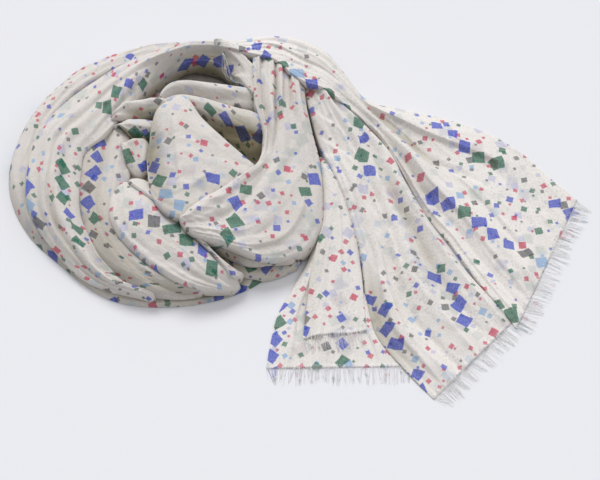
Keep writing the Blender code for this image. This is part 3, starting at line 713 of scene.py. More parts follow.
def blurred(field, reach):
    """The field averaged over a square window, twice."""
    for _ in range(2):
        for axis in (0, 1):
            pad = [(0, 0), (0, 0)]
            pad[axis] = (reach + 1, reach)
            total = np.cumsum(np.pad(field, pad, mode="edge"), axis=axis)
            count = field.shape[axis]
            high = np.take(total, np.arange(2 * reach + 1, 2 * reach + 1 + count), axis=axis)
            low = np.take(total, np.arange(0, count), axis=axis)
            field = (high - low) / (2 * reach + 1)
    return field


def swollen(field, reach):
    """Each place with the highest value within some places of it."""
    for axis in (0, 1):
        best = field.copy()
        pad = [(0, 0), (0, 0)]
        pad[axis] = (reach, reach)
        padded = np.pad(field, pad, mode="edge")
        for shift in range(2 * reach + 1):
            beside = np.arange(shift, shift + field.shape[axis])
            best = np.maximum(best, np.take(padded, beside, axis=axis))
        field = best
    return field


def seat_on_node(node, coarse):
    """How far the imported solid's upper skin stands above the plain sections' points."""
    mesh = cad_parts[node].data
    points = np.array([tuple(vertex.co) for vertex in mesh.vertices]) / MILLIMETRE
    points[:, 0] += ORIGIN[0]
    points[:, 1] += ORIGIN[1]
    tree = BVHTree.FromPolygons(points.tolist(), [tuple(face.vertices) for face in mesh.polygons])
    rise = np.zeros((coarse.shape[0] - 2, coarse.shape[1] - 2))
    for row in range(rise.shape[0]):
        for column in range(rise.shape[1]):
            x, y, z = coarse[row + 1, column + 1]
            hit = tree.ray_cast((x, y, 200.0), (0.0, 0.0, -1.0))
            if hit[0] is not None:
                rise[row, column] = hit[0].z - CLOTH / 2 - z
    return np.pad(rise, 1, mode="edge")


def grid_place(grid, along, across):
    """Plan points of a shell at some places along and across it."""
    rows, columns = grid.shape[0] - 1, grid.shape[1] - 1
    row = np.clip(along, 0, 1) * rows
    column = np.arccos(1 - 2 * np.clip(across, 0, 1)) / math.pi * columns
    low_row = np.clip(row.astype(int), 0, rows - 1)
    low_column = np.clip(column.astype(int), 0, columns - 1)
    s, t = (row - low_row)[:, None], (column - low_column)[:, None]
    plan = grid[..., :2]
    near = plan[low_row, low_column] * (1 - t) + plan[low_row, low_column + 1] * t
    far = plan[low_row + 1, low_column] * (1 - t) + plan[low_row + 1, low_column + 1] * t
    return near * (1 - s) + far * s


def crease_height(grid, creases):
    """Height that the listed creases add at each point of a shell."""
    plan = grid[..., :2]
    height = np.zeros(plan.shape[:2])
    share = np.linspace(0.0, 1.0, CREASE_STEPS + 1)
    for along_start, across_start, along_end, across_end, bow, tall, width, lean in creases:
        along = along_start + (along_end - along_start) * share
        across = across_start + (across_end - across_start) * share + bow * 4 * share * (1 - share)
        line = grid_place(grid, along, across)
        nearest = np.full(plan.shape[:2], 1e9)
        where = np.zeros(plan.shape[:2])
        side = np.zeros(plan.shape[:2])
        for step in range(CREASE_STEPS):
            start, way = line[step], line[step + 1] - line[step]
            length = max(float(way @ way), 1e-9)
            t = np.clip(((plan - start) @ way) / length, 0.0, 1.0)
            distance = np.sum((plan - start - t[..., None] * way) ** 2, axis=2)
            closer = distance < nearest
            nearest = np.where(closer, distance, nearest)
            where = np.where(closer, share[step] + (share[step + 1] - share[step]) * t, where)
            left = way[0] * (plan[..., 1] - start[1]) - way[1] * (plan[..., 0] - start[0])
            side = np.where(closer, np.sign(left), side)
        start_ease = np.clip(where / CREASE_FADE, 0, 1) if along_start > 0.0 else 1.0
        end_ease = np.clip((1 - where) / CREASE_FADE, 0, 1) if along_end < 1.0 else 1.0
        taper = eased(np.minimum(start_ease, end_ease))
        distance = np.sqrt(nearest)
        sharp = np.where(side * lean < 0, FOLD_DROP / width, 1.0)
        height += tall * taper * np.exp(-((distance / (width * sharp)) ** (1.6 - 0.3 * abs(lean))))
    return height


def cloth_place(grid):
    """Distances over the cloth, across from its middle and along, at each point."""
    across_steps = np.linalg.norm(np.diff(grid, axis=1), axis=2)
    across = np.concatenate((np.zeros((grid.shape[0], 1)), np.cumsum(across_steps, axis=1)), axis=1)
    middle = grid.shape[1] // 2
    across -= across[:, middle:middle + 1]
    along = stations_along(grid[:, middle])
    return across, np.broadcast_to(along[:, None], across.shape)


def pleat_height(across, along, tall, spacing, seed):
    """Uneven pleats that rise slowly and drop off sharply, each for a part of the length."""
    drift = 0.9 * soft_noise(along / 110, across / 80, seed + 11)
    phase = across / spacing + drift + 40.0
    number = np.floor(phase)
    part = phase - number
    rise = np.clip(part / 0.84, 0.0, 1.0)
    drop = np.clip((1.0 - part) / 0.16, 0.0, 1.0)
    profile = np.minimum(rise**1.5, eased(drop))
    patch = soft_noise(along / 75 + number * 17.3, number * 0.61 + 0.4, seed + 12)
    return tall * profile * np.clip(0.35 + 1.3 * patch, 0.0, 1.15)


def wrinkle_height(across, along, amounts, seed):
    """Uneven loose wrinkles along the cloth, and a fine crumple all over it."""
    tall, spacing_across, spacing_along, crumple = amounts
    drift = 0.6 * soft_noise(across / 60, along / 90, seed + 1)
    wave = soft_noise(across / spacing_across + drift, along / spacing_along, seed + 2)
    ridge = np.exp(-((wave / 0.22) ** 2)) - 0.45
    patch = 0.55 + 0.9 * soft_noise(across / 45 + 7, along / 70, seed + 3)
    broad = soft_noise(across / (spacing_across * 1.8), along / (spacing_along * 0.9), seed + 4)
    slant = soft_noise((across + along * 0.5) / 16, (along - across) / 34, seed + 5)
    fine = soft_noise(across / 6.5, along / 8.0, seed + 6)
    total = tall * (0.75 * ridge * np.clip(patch, 0.0, 1.4) + 0.85 * broad + 0.35 * slant)
    return total + crumple * fine


def bed_cells(points):
    """Rows and columns of the bed's cells at the points."""
    reach_x, reach_y = BED_REACH
    columns = (np.clip(points[..., 0] + reach_x, 0, 2 * reach_x) / BED_CELL + 0.5).astype(int)
    rows = (np.clip(points[..., 1] + reach_y, 0, 2 * reach_y) / BED_CELL + 0.5).astype(int)
    return rows, columns


def new_bed():
    """The bed with nothing on it."""
    rows = int(2 * BED_REACH[1] / BED_CELL) + 1
    columns = int(2 * BED_REACH[0] / BED_CELL) + 1
    return np.zeros((rows, columns))


def closed_share(points, bed):
    """How much of the sky over each point is hidden by what stands around it, 0 to 1."""
    hidden = np.zeros(points.shape[:-1])
    for turn in range(SKY_TURNS):
        angle = 2 * math.pi * turn / SKY_TURNS
        steepest = np.zeros(points.shape[:-1])
        for reach in SKY_REACHES:
            spot = points.copy()
            spot[..., 0] += reach * math.cos(angle)
            spot[..., 1] += reach * math.sin(angle)
            above = bed[bed_cells(spot)] - points[..., 2] - SKY_CLEARANCE
            steepest = np.maximum(steepest, above / reach)
        hidden += steepest**2 / (1 + steepest**2)
    return hidden / SKY_TURNS


def add_to_bed(bed, points):
    """Raise the bed to the top of a shell."""
    fine = resampled(points, (points.shape[0] * BED_FINENESS, points.shape[1] * BED_FINENESS))
    np.maximum.at(bed, bed_cells(fine), fine[..., 2] + SHELL / 2)


def lay_down(grid, bed):
    """Raise a shell softly wherever it would dip into what is already laid."""
    tall = swollen(bed, 1)
    for reach in SETTLE_REACHES:
        need = np.maximum(resting_height(tall[bed_cells(grid)]) - grid[..., 2], 0.0)
        rise = blurred(swollen(need, reach), reach)
        grid[..., 2] += np.maximum(rise, need)
    return grid


def rolled_edge(grid, bed, crown, fall=EDGE_FALL):
    """Columns that carry the first column down and under the shell, like the turn of a fold."""
    edge = grid[:, 0]
    inward = unit(grid[:, 3, :2] - edge[:, :2], 1e-6)
    under = np.concatenate((edge[:, :2] + inward * 2.0, edge[:, 2:]), axis=1)
    below = np.minimum(bed[bed_cells(edge)], bed[bed_cells(under)])
    drop = np.clip(edge[:, 2] - resting_height(below), 0.0, fall)
    tuck = np.minimum(crown, EDGE_TUCK)
    station = np.arange(len(edge)) * ROW_SPACING
    waving = 1 + 1.6 * soft_noise(station / 13, station * 0, 9)
    flare = 0.10 * np.clip(drop - EDGE_FALL, 0.0, 30.0) * waving
    columns = []
    for share in TURN_SHARES:
        column = edge.copy()
        bulge = np.minimum(drop * 0.16, 1.8) * math.sin(math.pi * min(share * 1.15, 1.0))
        tucked = tuck * max(0.0, (share - 0.5) / 0.5) ** 1.3
        column[:, :2] += inward * (tucked - bulge - flare * share)[:, None]
        column[:, 2] = edge[:, 2] - drop * math.sin(share * math.pi / 2)
        columns.append(column[:, None])
    return np.concatenate(columns[::-1], axis=1)


def with_rolled_edges(grid, bed, hem_at_end, left_fall):
    """The shell with its folded edges, and its hidden ends, turned down onto what is below."""

    def side_edge(shell, fall):
        crown = np.clip(shell[:, shell.shape[1] // 4, 2] - shell[:, 0, 2], 0.5, 8.0)
        return rolled_edge(shell, bed, crown, fall)

    def end_edge(shell):
        turned = shell.transpose(1, 0, 2)
        return rolled_edge(turned, bed, np.full(len(turned), END_TUCK)).transpose(1, 0, 2)

    left, right = side_edge(grid, left_fall), side_edge(grid[:, ::-1], EDGE_FALL)[:, ::-1]
    grid = np.concatenate((left, grid, right), axis=1)
    parts = [end_edge(grid), grid]
    if not hem_at_end:
        parts.append(end_edge(grid[::-1])[::-1])
    return np.concatenate(parts, axis=0)


def skins(grid):
    """Upper and lower skins, half the shell away from its middle surface."""
    normal = unit(np.cross(np.gradient(grid, axis=0), np.gradient(grid, axis=1)))
    if normal[..., 2].mean() < 0:
        normal = -normal
    return grid + normal * SHELL / 2, grid - normal * SHELL / 2


def wall_faces(rows, columns):
    """Faces of the closed shell between an upper and a lower skin."""
    below = rows * columns
    index = np.arange(below).reshape(rows, columns)
    top = grid_faces(index)
    bottom = top[:, (0, 3, 2, 1)] + below
    rim = np.concatenate((index[0, :-1], index[:-1, -1], index[-1, :0:-1], index[:0:-1, 0]))
    after = np.roll(rim, -1)
    sides = np.stack((rim, rim + below, after + below, after), axis=1)
    return np.concatenate((top, bottom, sides))


def print_on_edges(grid, place):
    """The print's place, carried on over the turned edges by their own length."""
    for axis, back in ((1, False), (1, True), (0, False)):
        order = slice(None, None, -1 if back else 1)
        points = np.moveaxis(grid, axis, 0)[order]
        spots = np.moveaxis(place, axis, 0)[order]
        way = unit(spots[TURNED_COLUMNS] - spots[TURNED_COLUMNS + 3], 1e-6)
        for row in range(TURNED_COLUMNS - 1, -1, -1):
            step = np.linalg.norm(points[row] - points[row + 1], axis=-1, keepdims=True)
            spots[row] = spots[row + 1] + way * step
    return place[..., 0], place[..., 1]


def print_place(name, grid, across, along):
    """Where the print's pattern is read at each point, in metres."""
    lie, shift_across, shift_along = PRINT_LIE[name]
    if lie == "flow":
        u, v = across, along
    else:
        turn = math.radians(lie)
        u = -math.sin(turn) * grid[..., 0] + math.cos(turn) * grid[..., 1]
        v = math.cos(turn) * grid[..., 0] + math.sin(turn) * grid[..., 1]
        if grid.ndim == 3:
            u, v = print_on_edges(grid, np.stack((u, v), axis=-1))
    return np.stack((u + shift_across, v + shift_along), axis=-1) * MILLIMETRE


def add_mesh(name, points, faces, uv, material, painted_shade, node):
    """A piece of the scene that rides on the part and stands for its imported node."""
    place = points - np.array((ORIGIN[0], ORIGIN[1], 0.0))
    mesh = bpy.data.meshes.new(name)
    mesh.from_pydata((place * MILLIMETRE).tolist(), [], [tuple(face) for face in faces])
    layer = mesh.uv_layers.new(name="cloth_place")
    corners = np.zeros(len(mesh.loops), dtype=np.int32)
    mesh.loops.foreach_get("vertex_index", corners)
    layer.data.foreach_set("uv", uv[corners].ravel().astype(np.float32))
    # Painted shade: how far each point's colour is darkened towards the shade tint.
    layer = mesh.attributes.new("painted_shade", "FLOAT", "POINT")
    layer.data.foreach_set("value", painted_shade.astype(np.float32))
    mesh.update()
    mesh.shade_smooth()
    mesh.materials.append(material)
    item = bpy.data.objects.new(name, mesh)
    bpy.context.scene.collection.objects.link(item)
    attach(item, "root")
    if node:
        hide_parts(node)
    return item


def add_shell(name, grid, uv, material, shade, bed, node):
    """A stretch's closed shell as a piece of the scene."""
    upper, lower = skins(grid)
    points = np.concatenate((upper.reshape(-1, 3), lower.reshape(-1, 3)))
    points[:, 2] = np.maximum(points[:, 2], 0.05)
    faces = wall_faces(*grid.shape[:2])
    places = np.tile(uv.reshape(-1, 2), (2, 1))
    # Painted shade: the sky hidden by what overhangs each point, plus the hollows' painted shade.
    painted_shade = OVERHANG_PAINTED_SHADE * closed_share(points, bed) + np.tile(shade.ravel(), 2)
    return add_mesh(name, points, faces, places, material, painted_shade, node)


def lapped(grid, left_lap, right_lap, until, sink):
    """The grid with its edges moved outward, fading over its outer thirds and towards its ends."""
    way = unit(grid[:, -1, :2] - grid[:, 0, :2])
    along = np.linspace(0.0, 1.0, grid.shape[0])
    ends = np.clip(8 * (1 - along), 0.0, 1.0) * np.clip(8 * (until - along), 0.0, 1.0)
    if until == 1.0:
        ends = ends * np.clip(8 * along, 0.0, 1.0)
    across = places_across(grid.shape[1] - 1)
    outer_left, outer_right = np.clip(1 - across * 3, 0.0, 1.0), np.clip(across * 3 - 2, 0.0, 1.0)
    shift = ends[:, None] * (right_lap * outer_right - left_lap * outer_left)
    grid[..., :2] += way[:, None] * shift[..., None]
    grid[..., 2] -= sink * np.abs(shift) / max(left_lap, right_lap)
    return grid


def tapered(grid, start, anchor, least):
    """The grid narrowed towards a place across it, from a place along it to its end."""
    share = np.clip((np.linspace(0.0, 1.0, len(grid)) - start) / (1.0 - start), 0.0, 1.0)
    left = 1.0 - (1.0 - least) * share**1.4
    column = int(math.acos(1 - 2 * anchor) / math.pi * (grid.shape[1] - 1))
    pin = grid[:, column:column + 1]
    return pin + (grid - pin) * left[:, None, None]


def hollow_shade(name, shape):
    """How much painted shade the listed hollows give each point of a shell, 0 to 1."""
    along = np.linspace(0.0, 1.0, shape[0])[:, None]
    across = places_across(shape[1] - 1)[None, :]
    shade = np.zeros(shape)
    for place_along, place_across, reach_along, reach_across, strength in PAINTED_SHADE_HOLLOWS.get(name, ()):
        away_along = (along - place_along) / reach_along
        away_across = (across - place_across) / reach_across
        shade += strength * np.exp(-(away_along**2 + away_across**2))
    return shade


def with_lead(grid, reach, sink):
    """The grid carried on past its first row, in under what lies on it."""
    count = int(reach / ROW_SPACING)
    way = grid[:1] - grid[6:7]
    way[..., 2] = 0.0
    way *= ROW_SPACING / np.linalg.norm(way, axis=2, keepdims=True)
    step = np.arange(count, 0, -1)[:, None, None]
    lead = grid[:1] + way * step
    lead[..., 2] -= sink * (step[..., 0] / count) ** 1.5
    return np.concatenate((lead, grid))


def with_flat_hem(grid, bed):
    """The grid with its last rows let down towards what they lie on."""
    low = resting_height(bed[bed_cells(grid)])
    rows = int(HEM_DROP / ROW_SPACING)
    share = np.clip((np.arange(len(grid)) - len(grid) + rows) / rows, 0.0, 1.0)[:, None]
    grid[..., 2] += (np.minimum(low, grid[..., 2]) - grid[..., 2]) * HEM_LET_DOWN * eased(share)
    return grid


def rounded_ends(grid, hem_at_end):
    """The grid drawn in towards its middle line at the ends that don't carry a hem."""
    middle = (grid[:, :1] + grid[:, -1:]) / 2
    station = stations_along(middle[:, 0])
    width = np.linalg.norm(grid[:, -1] - grid[:, 0], axis=1)
    share = np.ones(len(grid))
    ends = [(station, width[0])]
    if not hem_at_end:
        ends.append((station[-1] - station, width[-1]))
    for away, end_width in ends:
        near = np.clip(1 - away / (end_width * END_ROUNDING), 0.0, 1.0)
        share = np.minimum(share, np.sqrt(np.clip(1.02 - near * near, 0.0, 1.0)))
    return middle + (grid - middle) * share[:, None, None]


def stretch_shell(name, rows, spans_along, spans_across, bed, seed):
    """The finished grid of one stretch, with its creases and wrinkles, laid on the bed."""
    if name == "outer_turn":
        rows = turn_to_sections(rows, COIL_CENTRE)
    coarse = stretch_grid(name, rows, spans_along, spans_across)
    rise = seat_on_node(name, coarse)
    across, along = cloth_place(coarse)
    length = along[-1, 0]
    width = (across[:, -1] - across[:, 0]).max()
    fine_along = int(length / ROW_SPACING)
    fine_across = int(width / COLUMN_SPACING)
    grid = stretch_grid(name, rows, fine_along, fine_across)
    grid[..., 2] += resampled(rise, grid.shape[:2])
    if name in LAPS:
        grid = lapped(grid, *LAPS[name])
    if name in TAPERS:
        grid = tapered(grid, *TAPERS[name])
    if name in LEADS:
        grid = with_lead(grid, *LEADS[name])
    grid = rounded_ends(grid, name in HEMMED)
    across, along = cloth_place(grid)
    place = places_across(fine_across)[None, :]
    fade = np.clip(4 * place * (1 - place), 0.0, 1.0)
    chord = np.linalg.norm(grid[:, -1] - grid[:, 0], axis=1)[:, None]
    width_share = np.clip(chord / FULL_CREASE_WIDTH, 0.15, 1.0)
    grid[..., 2] += crease_height(grid, CREASES.get(name, ())) * fade**0.25 * width_share
    if name in PLEATS:
        pleats = pleat_height(across, along, *PLEATS[name], seed)
        grid[..., 2] += pleats * fade**0.4 * width_share
    grid[..., 2] += wrinkle_height(across, along, WRINKLES[name], seed) * fade**0.4 * width_share
    if name in HEMMED:
        grid = with_flat_hem(grid, bed)
    return lay_down(grid, bed)


def linear(red, green, blue):
    """A colour given as it shows on a screen, 0 to 255, as the renderer's own values."""
    parts = []
    for part in (red, green, blue):
        share = part / 255
        parts.append(share / 12.92 if share <= 0.04045 else ((share + 0.055) / 1.055) ** 2.4)
    return (*parts, 1.0)


CREAM = linear(244, 238, 236)
WARM_CREAM = linear(240, 235, 227)
COIL_SHADED_CREAM = linear(232, 225, 223)  # painted shade: darker copies of the fan's creams, as many layers let less light through than one over the floor
COIL_SHADED_WARM_CREAM = linear(228, 222, 212)
PAINTED_SHADE_TINT = linear(158, 152, 124)  # painted shade: the olive tint that stands in for the shade deep between the folds
THREAD_WHITE = linear(253, 251, 250)
SPECK = linear(204, 201, 198)  # open places in the weave
FLOOR = linear(238, 238, 242)
PRINT_BLUE = linear(58, 82, 196)
PRINT_GREEN = linear(30, 112, 88)
PRINT_PINK = linear(206, 58, 98)
PRINT_GREY = linear(100, 100, 104)
PRINT_PALE_BLUE = linear(150, 184, 222)
PRINT_LILAC = linear(196, 196, 222)
PRINT_GHOST = linear(214, 216, 214)

SMALL_PALETTE = (
    (0.00, PRINT_PINK),
    (0.34, PRINT_GREY),
    (0.52, PRINT_GREEN),
    (0.68, PRINT_BLUE),
    (0.82, PRINT_PALE_BLUE),
    (0.93, PRINT_LILAC),
)
MEDIUM_PALETTE = (
    (0.00, PRINT_PINK),
    (0.26, PRINT_GREEN),
    (0.46, PRINT_GREY),
    (0.62, PRINT_BLUE),
    (0.78, PRINT_PALE_BLUE),
)
CHAIN_PALETTE = (
    (0.00, PRINT_BLUE),
    (0.46, PRINT_GREEN),
    (0.84, PRINT_PALE_BLUE),
    (0.94, PRINT_GREY),
)
SHOW_THROUGH_PALETTE = (
    (0.00, linear(176, 180, 204)),
    (0.45, linear(168, 186, 182)),
    (0.80, linear(200, 184, 192)),
)
GHOST_PALETTE = (
    (0.00, PRINT_GHOST),
    (0.45, PRINT_LILAC),
    (0.75, linear(206, 216, 226)),
)


class Shading:
    """Adds shader nodes, taking sockets or plain values for their inputs."""

    def __init__(self, material):
        self.tree = material.node_tree

    def add(self, kind, inputs=(), **settings):
        node = self.tree.nodes.new(kind)
        for key, value in settings.items():
            setattr(node, key, value)
        for key, value in dict(inputs).items():
            self.set(node.inputs[key], value)
        return node

    def set(self, socket, value):
        if isinstance(value, bpy.types.NodeSocket):
            self.tree.links.new(value, socket)
        else:
            socket.default_value = value

    def math(self, operation, *values, clamp=False):
        node = self.add("ShaderNodeMath", operation=operation, use_clamp=clamp)
        for socket, value in zip(node.inputs, values):
            self.set(socket, value)
        return node.outputs[0]

    def vector(self, operation, *values):
        node = self.add("ShaderNodeVectorMath", operation=operation)
        for socket, value in zip(node.inputs, values):
            self.set(socket, value)
        return node.outputs[0]

    def mix(self, share, first, second, blend="MIX"):
        node = self.add("ShaderNodeMix", data_type="RGBA", blend_type=blend)
        self.set(node.inputs[0], share)
        self.set(node.inputs[6], first)
        self.set(node.inputs[7], second)
        return node.outputs[2]

    def noise(self, place, scale, detail=2.0):
        inputs = {"Vector": place, "Scale": scale, "Detail": detail}
        return self.add("ShaderNodeTexNoise", inputs, noise_dimensions="2D").outputs[0]

    def palette(self, share, rows):
        node = self.add("ShaderNodeValToRGB", {"Fac": share})
        ramp = node.color_ramp
        ramp.interpolation = "CONSTANT"
        for place, colour in rows[1:]:
            ramp.elements.new(place).color = colour
        ramp.elements[0].color = rows[0][1]
        last = ramp.elements[len(ramp.elements) - 1]
        last.color = rows[-1][1]
        return node.outputs[0]

    def square(self, local, turn, half, softness):
        """Share of ink in a turned square about the local centre."""
        inputs = {"Vector": local, "Angle": turn}
        turned = self.add("ShaderNodeVectorRotate", inputs, rotation_type="Z_AXIS").outputs[0]
        parts = self.add("ShaderNodeSeparateXYZ", {0: self.vector("ABSOLUTE", turned)})
        reach = self.math("MAXIMUM", parts.outputs[0], parts.outputs[1])
        inside = self.math("SUBTRACT", half, reach)
        return self.math("MULTIPLY_ADD", inside, 1.0 / softness, 0.5, clamp=True)

    def off_centre(self, count, size):
        """Distance from the middle of the cell that holds the counted place."""
        part = self.math("SUBTRACT", self.math("FRACT", count), 0.5)
        return self.math("MULTIPLY", part, size)

    def scattered_squares(self, place, cell, smallest, largest, kept, shift, rows):
        """Squares of mixed sizes and colours, one at most in each cell."""
        fine, moved = (1 / cell, 1 / cell, 0.0), (shift, shift * 1.7, 0.0)
        scaled = self.vector("MULTIPLY_ADD", place, fine, moved)
        inputs = {"Vector": scaled, "Scale": 1.0, "Randomness": 0.85}
        cells = self.add("ShaderNodeTexVoronoi", inputs, voronoi_dimensions="2D")
        away = self.vector("SUBTRACT", scaled, cells.outputs["Position"])
        local = self.vector("MULTIPLY", away, (cell, cell, 0.0))
        chance = self.add("ShaderNodeSeparateColor", {0: cells.outputs["Color"]})
        red, green, blue = chance.outputs[0], chance.outputs[1], chance.outputs[2]
        turn = self.math("MULTIPLY_ADD", red, 0.9, 0.32)
        size = self.math("POWER", green, 1.7)
        size = self.math("MULTIPLY_ADD", size, largest - smallest, smallest)
        ink = self.square(local, turn, size, 0.9)
        ink = self.math("MULTIPLY", ink, self.math("LESS_THAN", blue, kept))
        pick = self.math("MULTIPLY_ADD", red, 7.31, self.math("MULTIPLY", green, 3.7))
        pick = self.math("FRACT", pick)
        return ink, self.palette(pick, rows)

    def chained_squares(self, place, spacing, pitch, rows, softness=0.9):
        """Streams of large squares that touch corner to corner, broken into short chains."""
        sway = self.noise(self.vector("MULTIPLY", place, (0.2, 1.0, 0.0)), 0.011)
        parts = self.add("ShaderNodeSeparateXYZ", {0: place})
        side = self.math("MULTIPLY_ADD", sway, 60.0, parts.outputs[0])
        stream = self.math("DIVIDE", side, spacing)
        number = self.math("FLOOR", stream)
        beside = self.off_centre(stream, spacing)
        offset = self.math("MULTIPLY", number, 137.0)
        down = self.math("DIVIDE", self.math("ADD", parts.outputs[1], offset), pitch)
        step = self.math("FLOOR", down)
        beyond = self.off_centre(down, pitch)
        key = self.add("ShaderNodeCombineXYZ", {0: number, 1: step})
        inputs = {"Vector": key.outputs[0]}
        chance = self.add("ShaderNodeTexWhiteNoise", inputs, noise_dimensions="2D")
        lot = self.add("ShaderNodeSeparateColor", {0: chance.outputs["Color"]})
        shove = self.math("MULTIPLY_ADD", lot.outputs[0], 7.0, -3.5)
        local = self.add("ShaderNodeCombineXYZ", {0: self.math("ADD", beside, shove), 1: beyond})
        turn = self.math("MULTIPLY_ADD", lot.outputs[1], 0.5, 0.55)
        size = self.math("MULTIPLY_ADD", lot.outputs[2], 2.6, pitch * 0.27)
        ink = self.square(local.outputs[0], turn, size, softness)
        run_key = self.add("ShaderNodeCombineXYZ", {
            0: self.math("MULTIPLY", number, 3.37),
            1: self.math("DIVIDE", step, 5.0),
        })
        run = self.noise(run_key.outputs[0], 1.0, 0.0)
        ink = self.math("MULTIPLY", ink, self.math("GREATER_THAN", run, 0.455))
        pick = self.math("FRACT", self.math("MULTIPLY_ADD", lot.outputs[0], 5.77, lot.outputs[2]))
        return ink, self.palette(pick, rows)


def new_material(name, settings):
    """A material and its main shader, with some of its inputs set."""
    material = bpy.data.materials.new(name)
    material.use_nodes = True
    shader = material.node_tree.nodes["Principled BSDF"]
    for key, value in settings.items():
        shader.inputs[key].default_value = value
    return material, shader


def make_print_material(name, ink_strength, with_weave, base, chain_gap):
    """Fine gauze with scattered printed squares, darkened by painted shade where its points carry
    it.
    """
    material, shader = new_material(name, {
        "Roughness": 0.92, "Specular IOR Level": 0.15, "Sheen Weight": 0.15, "Sheen Roughness": 0.6,
    })
    shade = Shading(material)
    uv = shade.add("ShaderNodeUVMap", uv_map="cloth_place")
    place = shade.vector("MULTIPLY", uv.outputs[0], (1000.0, 1000.0, 0.0))
    inputs = {"Vector": place, "Scale": 0.30, "Detail": 2.0}
    wobble = shade.add("ShaderNodeTexNoise", inputs, noise_dimensions="2D").outputs["Color"]
    rough = shade.vector("MULTIPLY_ADD", wobble, (1.3, 1.3, 0.0), (-0.65, -0.65, 0.0))
    inked = shade.vector("ADD", place, rough)
    colour = shade.mix(shade.noise(place, 0.035), *base)
    if with_weave:
        speck = shade.math("MULTIPLY_ADD", shade.noise(place, 0.34, 3.0), 3.2, -1.55, clamp=True)
        patch = shade.math("MULTIPLY_ADD", shade.noise(place, 0.02), 1.6, -0.25, clamp=True)
        colour = shade.mix(shade.math("MULTIPLY", speck, patch), colour, SPECK)
    fibre = shade.noise(shade.vector("MULTIPLY", place, (1.0, 0.35, 0.0)), 0.9)
    thin = shade.math("MULTIPLY_ADD", fibre, 0.5, 0.62, clamp=True)
    below = shade.vector("ADD", inked, (47.0, 333.0, 0.0))
    layers = (
        (shade.chained_squares(below, 61.0, 23.0, SHOW_THROUGH_PALETTE, 4.0), 0.42),
        (shade.scattered_squares(inked, 31.0, 3.0, 6.5, 0.66, 3.3, GHOST_PALETTE), 0.75),
        (shade.scattered_squares(inked, 15.5, 1.5, 3.4, 0.62, 9.1, SMALL_PALETTE), 0.85),
        (shade.scattered_squares(inked, 27.0, 2.6, 5.4, 0.55, 5.7, MEDIUM_PALETTE), 0.90),
        (shade.chained_squares(inked, chain_gap, 24.0, CHAIN_PALETTE), 0.95),
    )
    for (ink, ink_colour), strength in layers:
        share = shade.math("MULTIPLY", ink, shade.math("MULTIPLY", thin, strength * ink_strength))
        colour = shade.mix(share, colour, ink_colour)
    # Painted shade: the colour darkened towards the shade tint by each point's painted shade.
    painted_shade = shade.add("ShaderNodeAttribute", attribute_name="painted_shade", attribute_type="GEOMETRY")
    closed = shade.math("POWER", painted_shade.outputs["Fac"], 1.3)
    closed = shade.math("MULTIPLY", closed, 2.4, clamp=True)
    painted_tint = shade.mix(closed, (1.0, 1.0, 1.0, 1.0), PAINTED_SHADE_TINT)
    shade.set(shader.inputs["Base Color"], shade.mix(1.0, colour, painted_tint, "MULTIPLY"))
    if with_weave:
        parts = shade.add("ShaderNodeSeparateXYZ", {0: place})
        turn = 2 * math.pi / WEAVE_PITCH
        warp = shade.math("SINE", shade.math("MULTIPLY", parts.outputs[0], turn))
        weft = shade.math("SINE", shade.math("MULTIPLY", parts.outputs[1], turn))
        weave = shade.math("MULTIPLY", warp, weft)
        crepe = shade.noise(place, 0.42, 3.0)
        relief = shade.math("MULTIPLY_ADD", weave, 0.12, crepe)
        bump = shade.add("ShaderNodeBump", {"Height": relief, "Distance": 0.0011, "Strength": 0.55})
        shade.set(shader.inputs["Normal"], bump.outputs[0])
    return material


def make_stage():
    """The pale floor, the soft light and the camera at the photo's angle."""
    scene = bpy.context.scene
    mesh = bpy.data.meshes.new("floor")
    mesh.from_pydata([(-5, -5, 0), (5, -5, 0), (5, 5, 0), (-5, 5, 0)], [], [(0, 1, 2, 3)])
    settings = {"Base Color": FLOOR, "Roughness": 0.95, "Specular IOR Level": 0.1}
    mesh.materials.append(new_material("pale_floor", settings)[0])
    floor = bpy.data.objects.new("floor", mesh)
    floor.location = (0.0, 0.0, -0.0004)
    scene.collection.objects.link(floor)
    world = bpy.data.worlds.new("studio")
    world.use_nodes = True
    background = world.node_tree.nodes["Background"]
    background.inputs[0].default_value = STUDIO_LIGHT
    background.inputs[1].default_value = STUDIO_STRENGTH
    scene.world = world
    for name, way, strength, spread in LAMPS:
        light = bpy.data.lights.new(name, "SUN")
        light.energy = strength
        light.angle = spread
        item = bpy.data.objects.new(name, light)
        reach = math.hypot(way[0], way[1])
        item.rotation_euler = (math.atan2(reach, way[2]), 0.0, math.atan2(way[0], -way[1]))
        scene.collection.objects.link(item)
    angle = math.radians(CAMERA_HEIGHT_ANGLE)
    aim_x, aim_y = -ORIGIN[0] * MILLIMETRE, -ORIGIN[1] * MILLIMETRE
    back, up = CAMERA_DISTANCE * math.cos(angle), CAMERA_DISTANCE * math.sin(angle)
    camera = bpy.data.cameras.new("photo_view")
    camera.lens = CAMERA_LENS
    camera.sensor_width = SENSOR_WIDTH
    view = bpy.data.objects.new("photo_view", camera)
    view.location = (aim_x, aim_y - back, up)
    view.rotation_euler = (math.pi / 2 - angle, 0.0, 0.0)
    scene.collection.objects.link(view)
    scene.camera = view
    scene.view_settings.view_transform = "Standard"


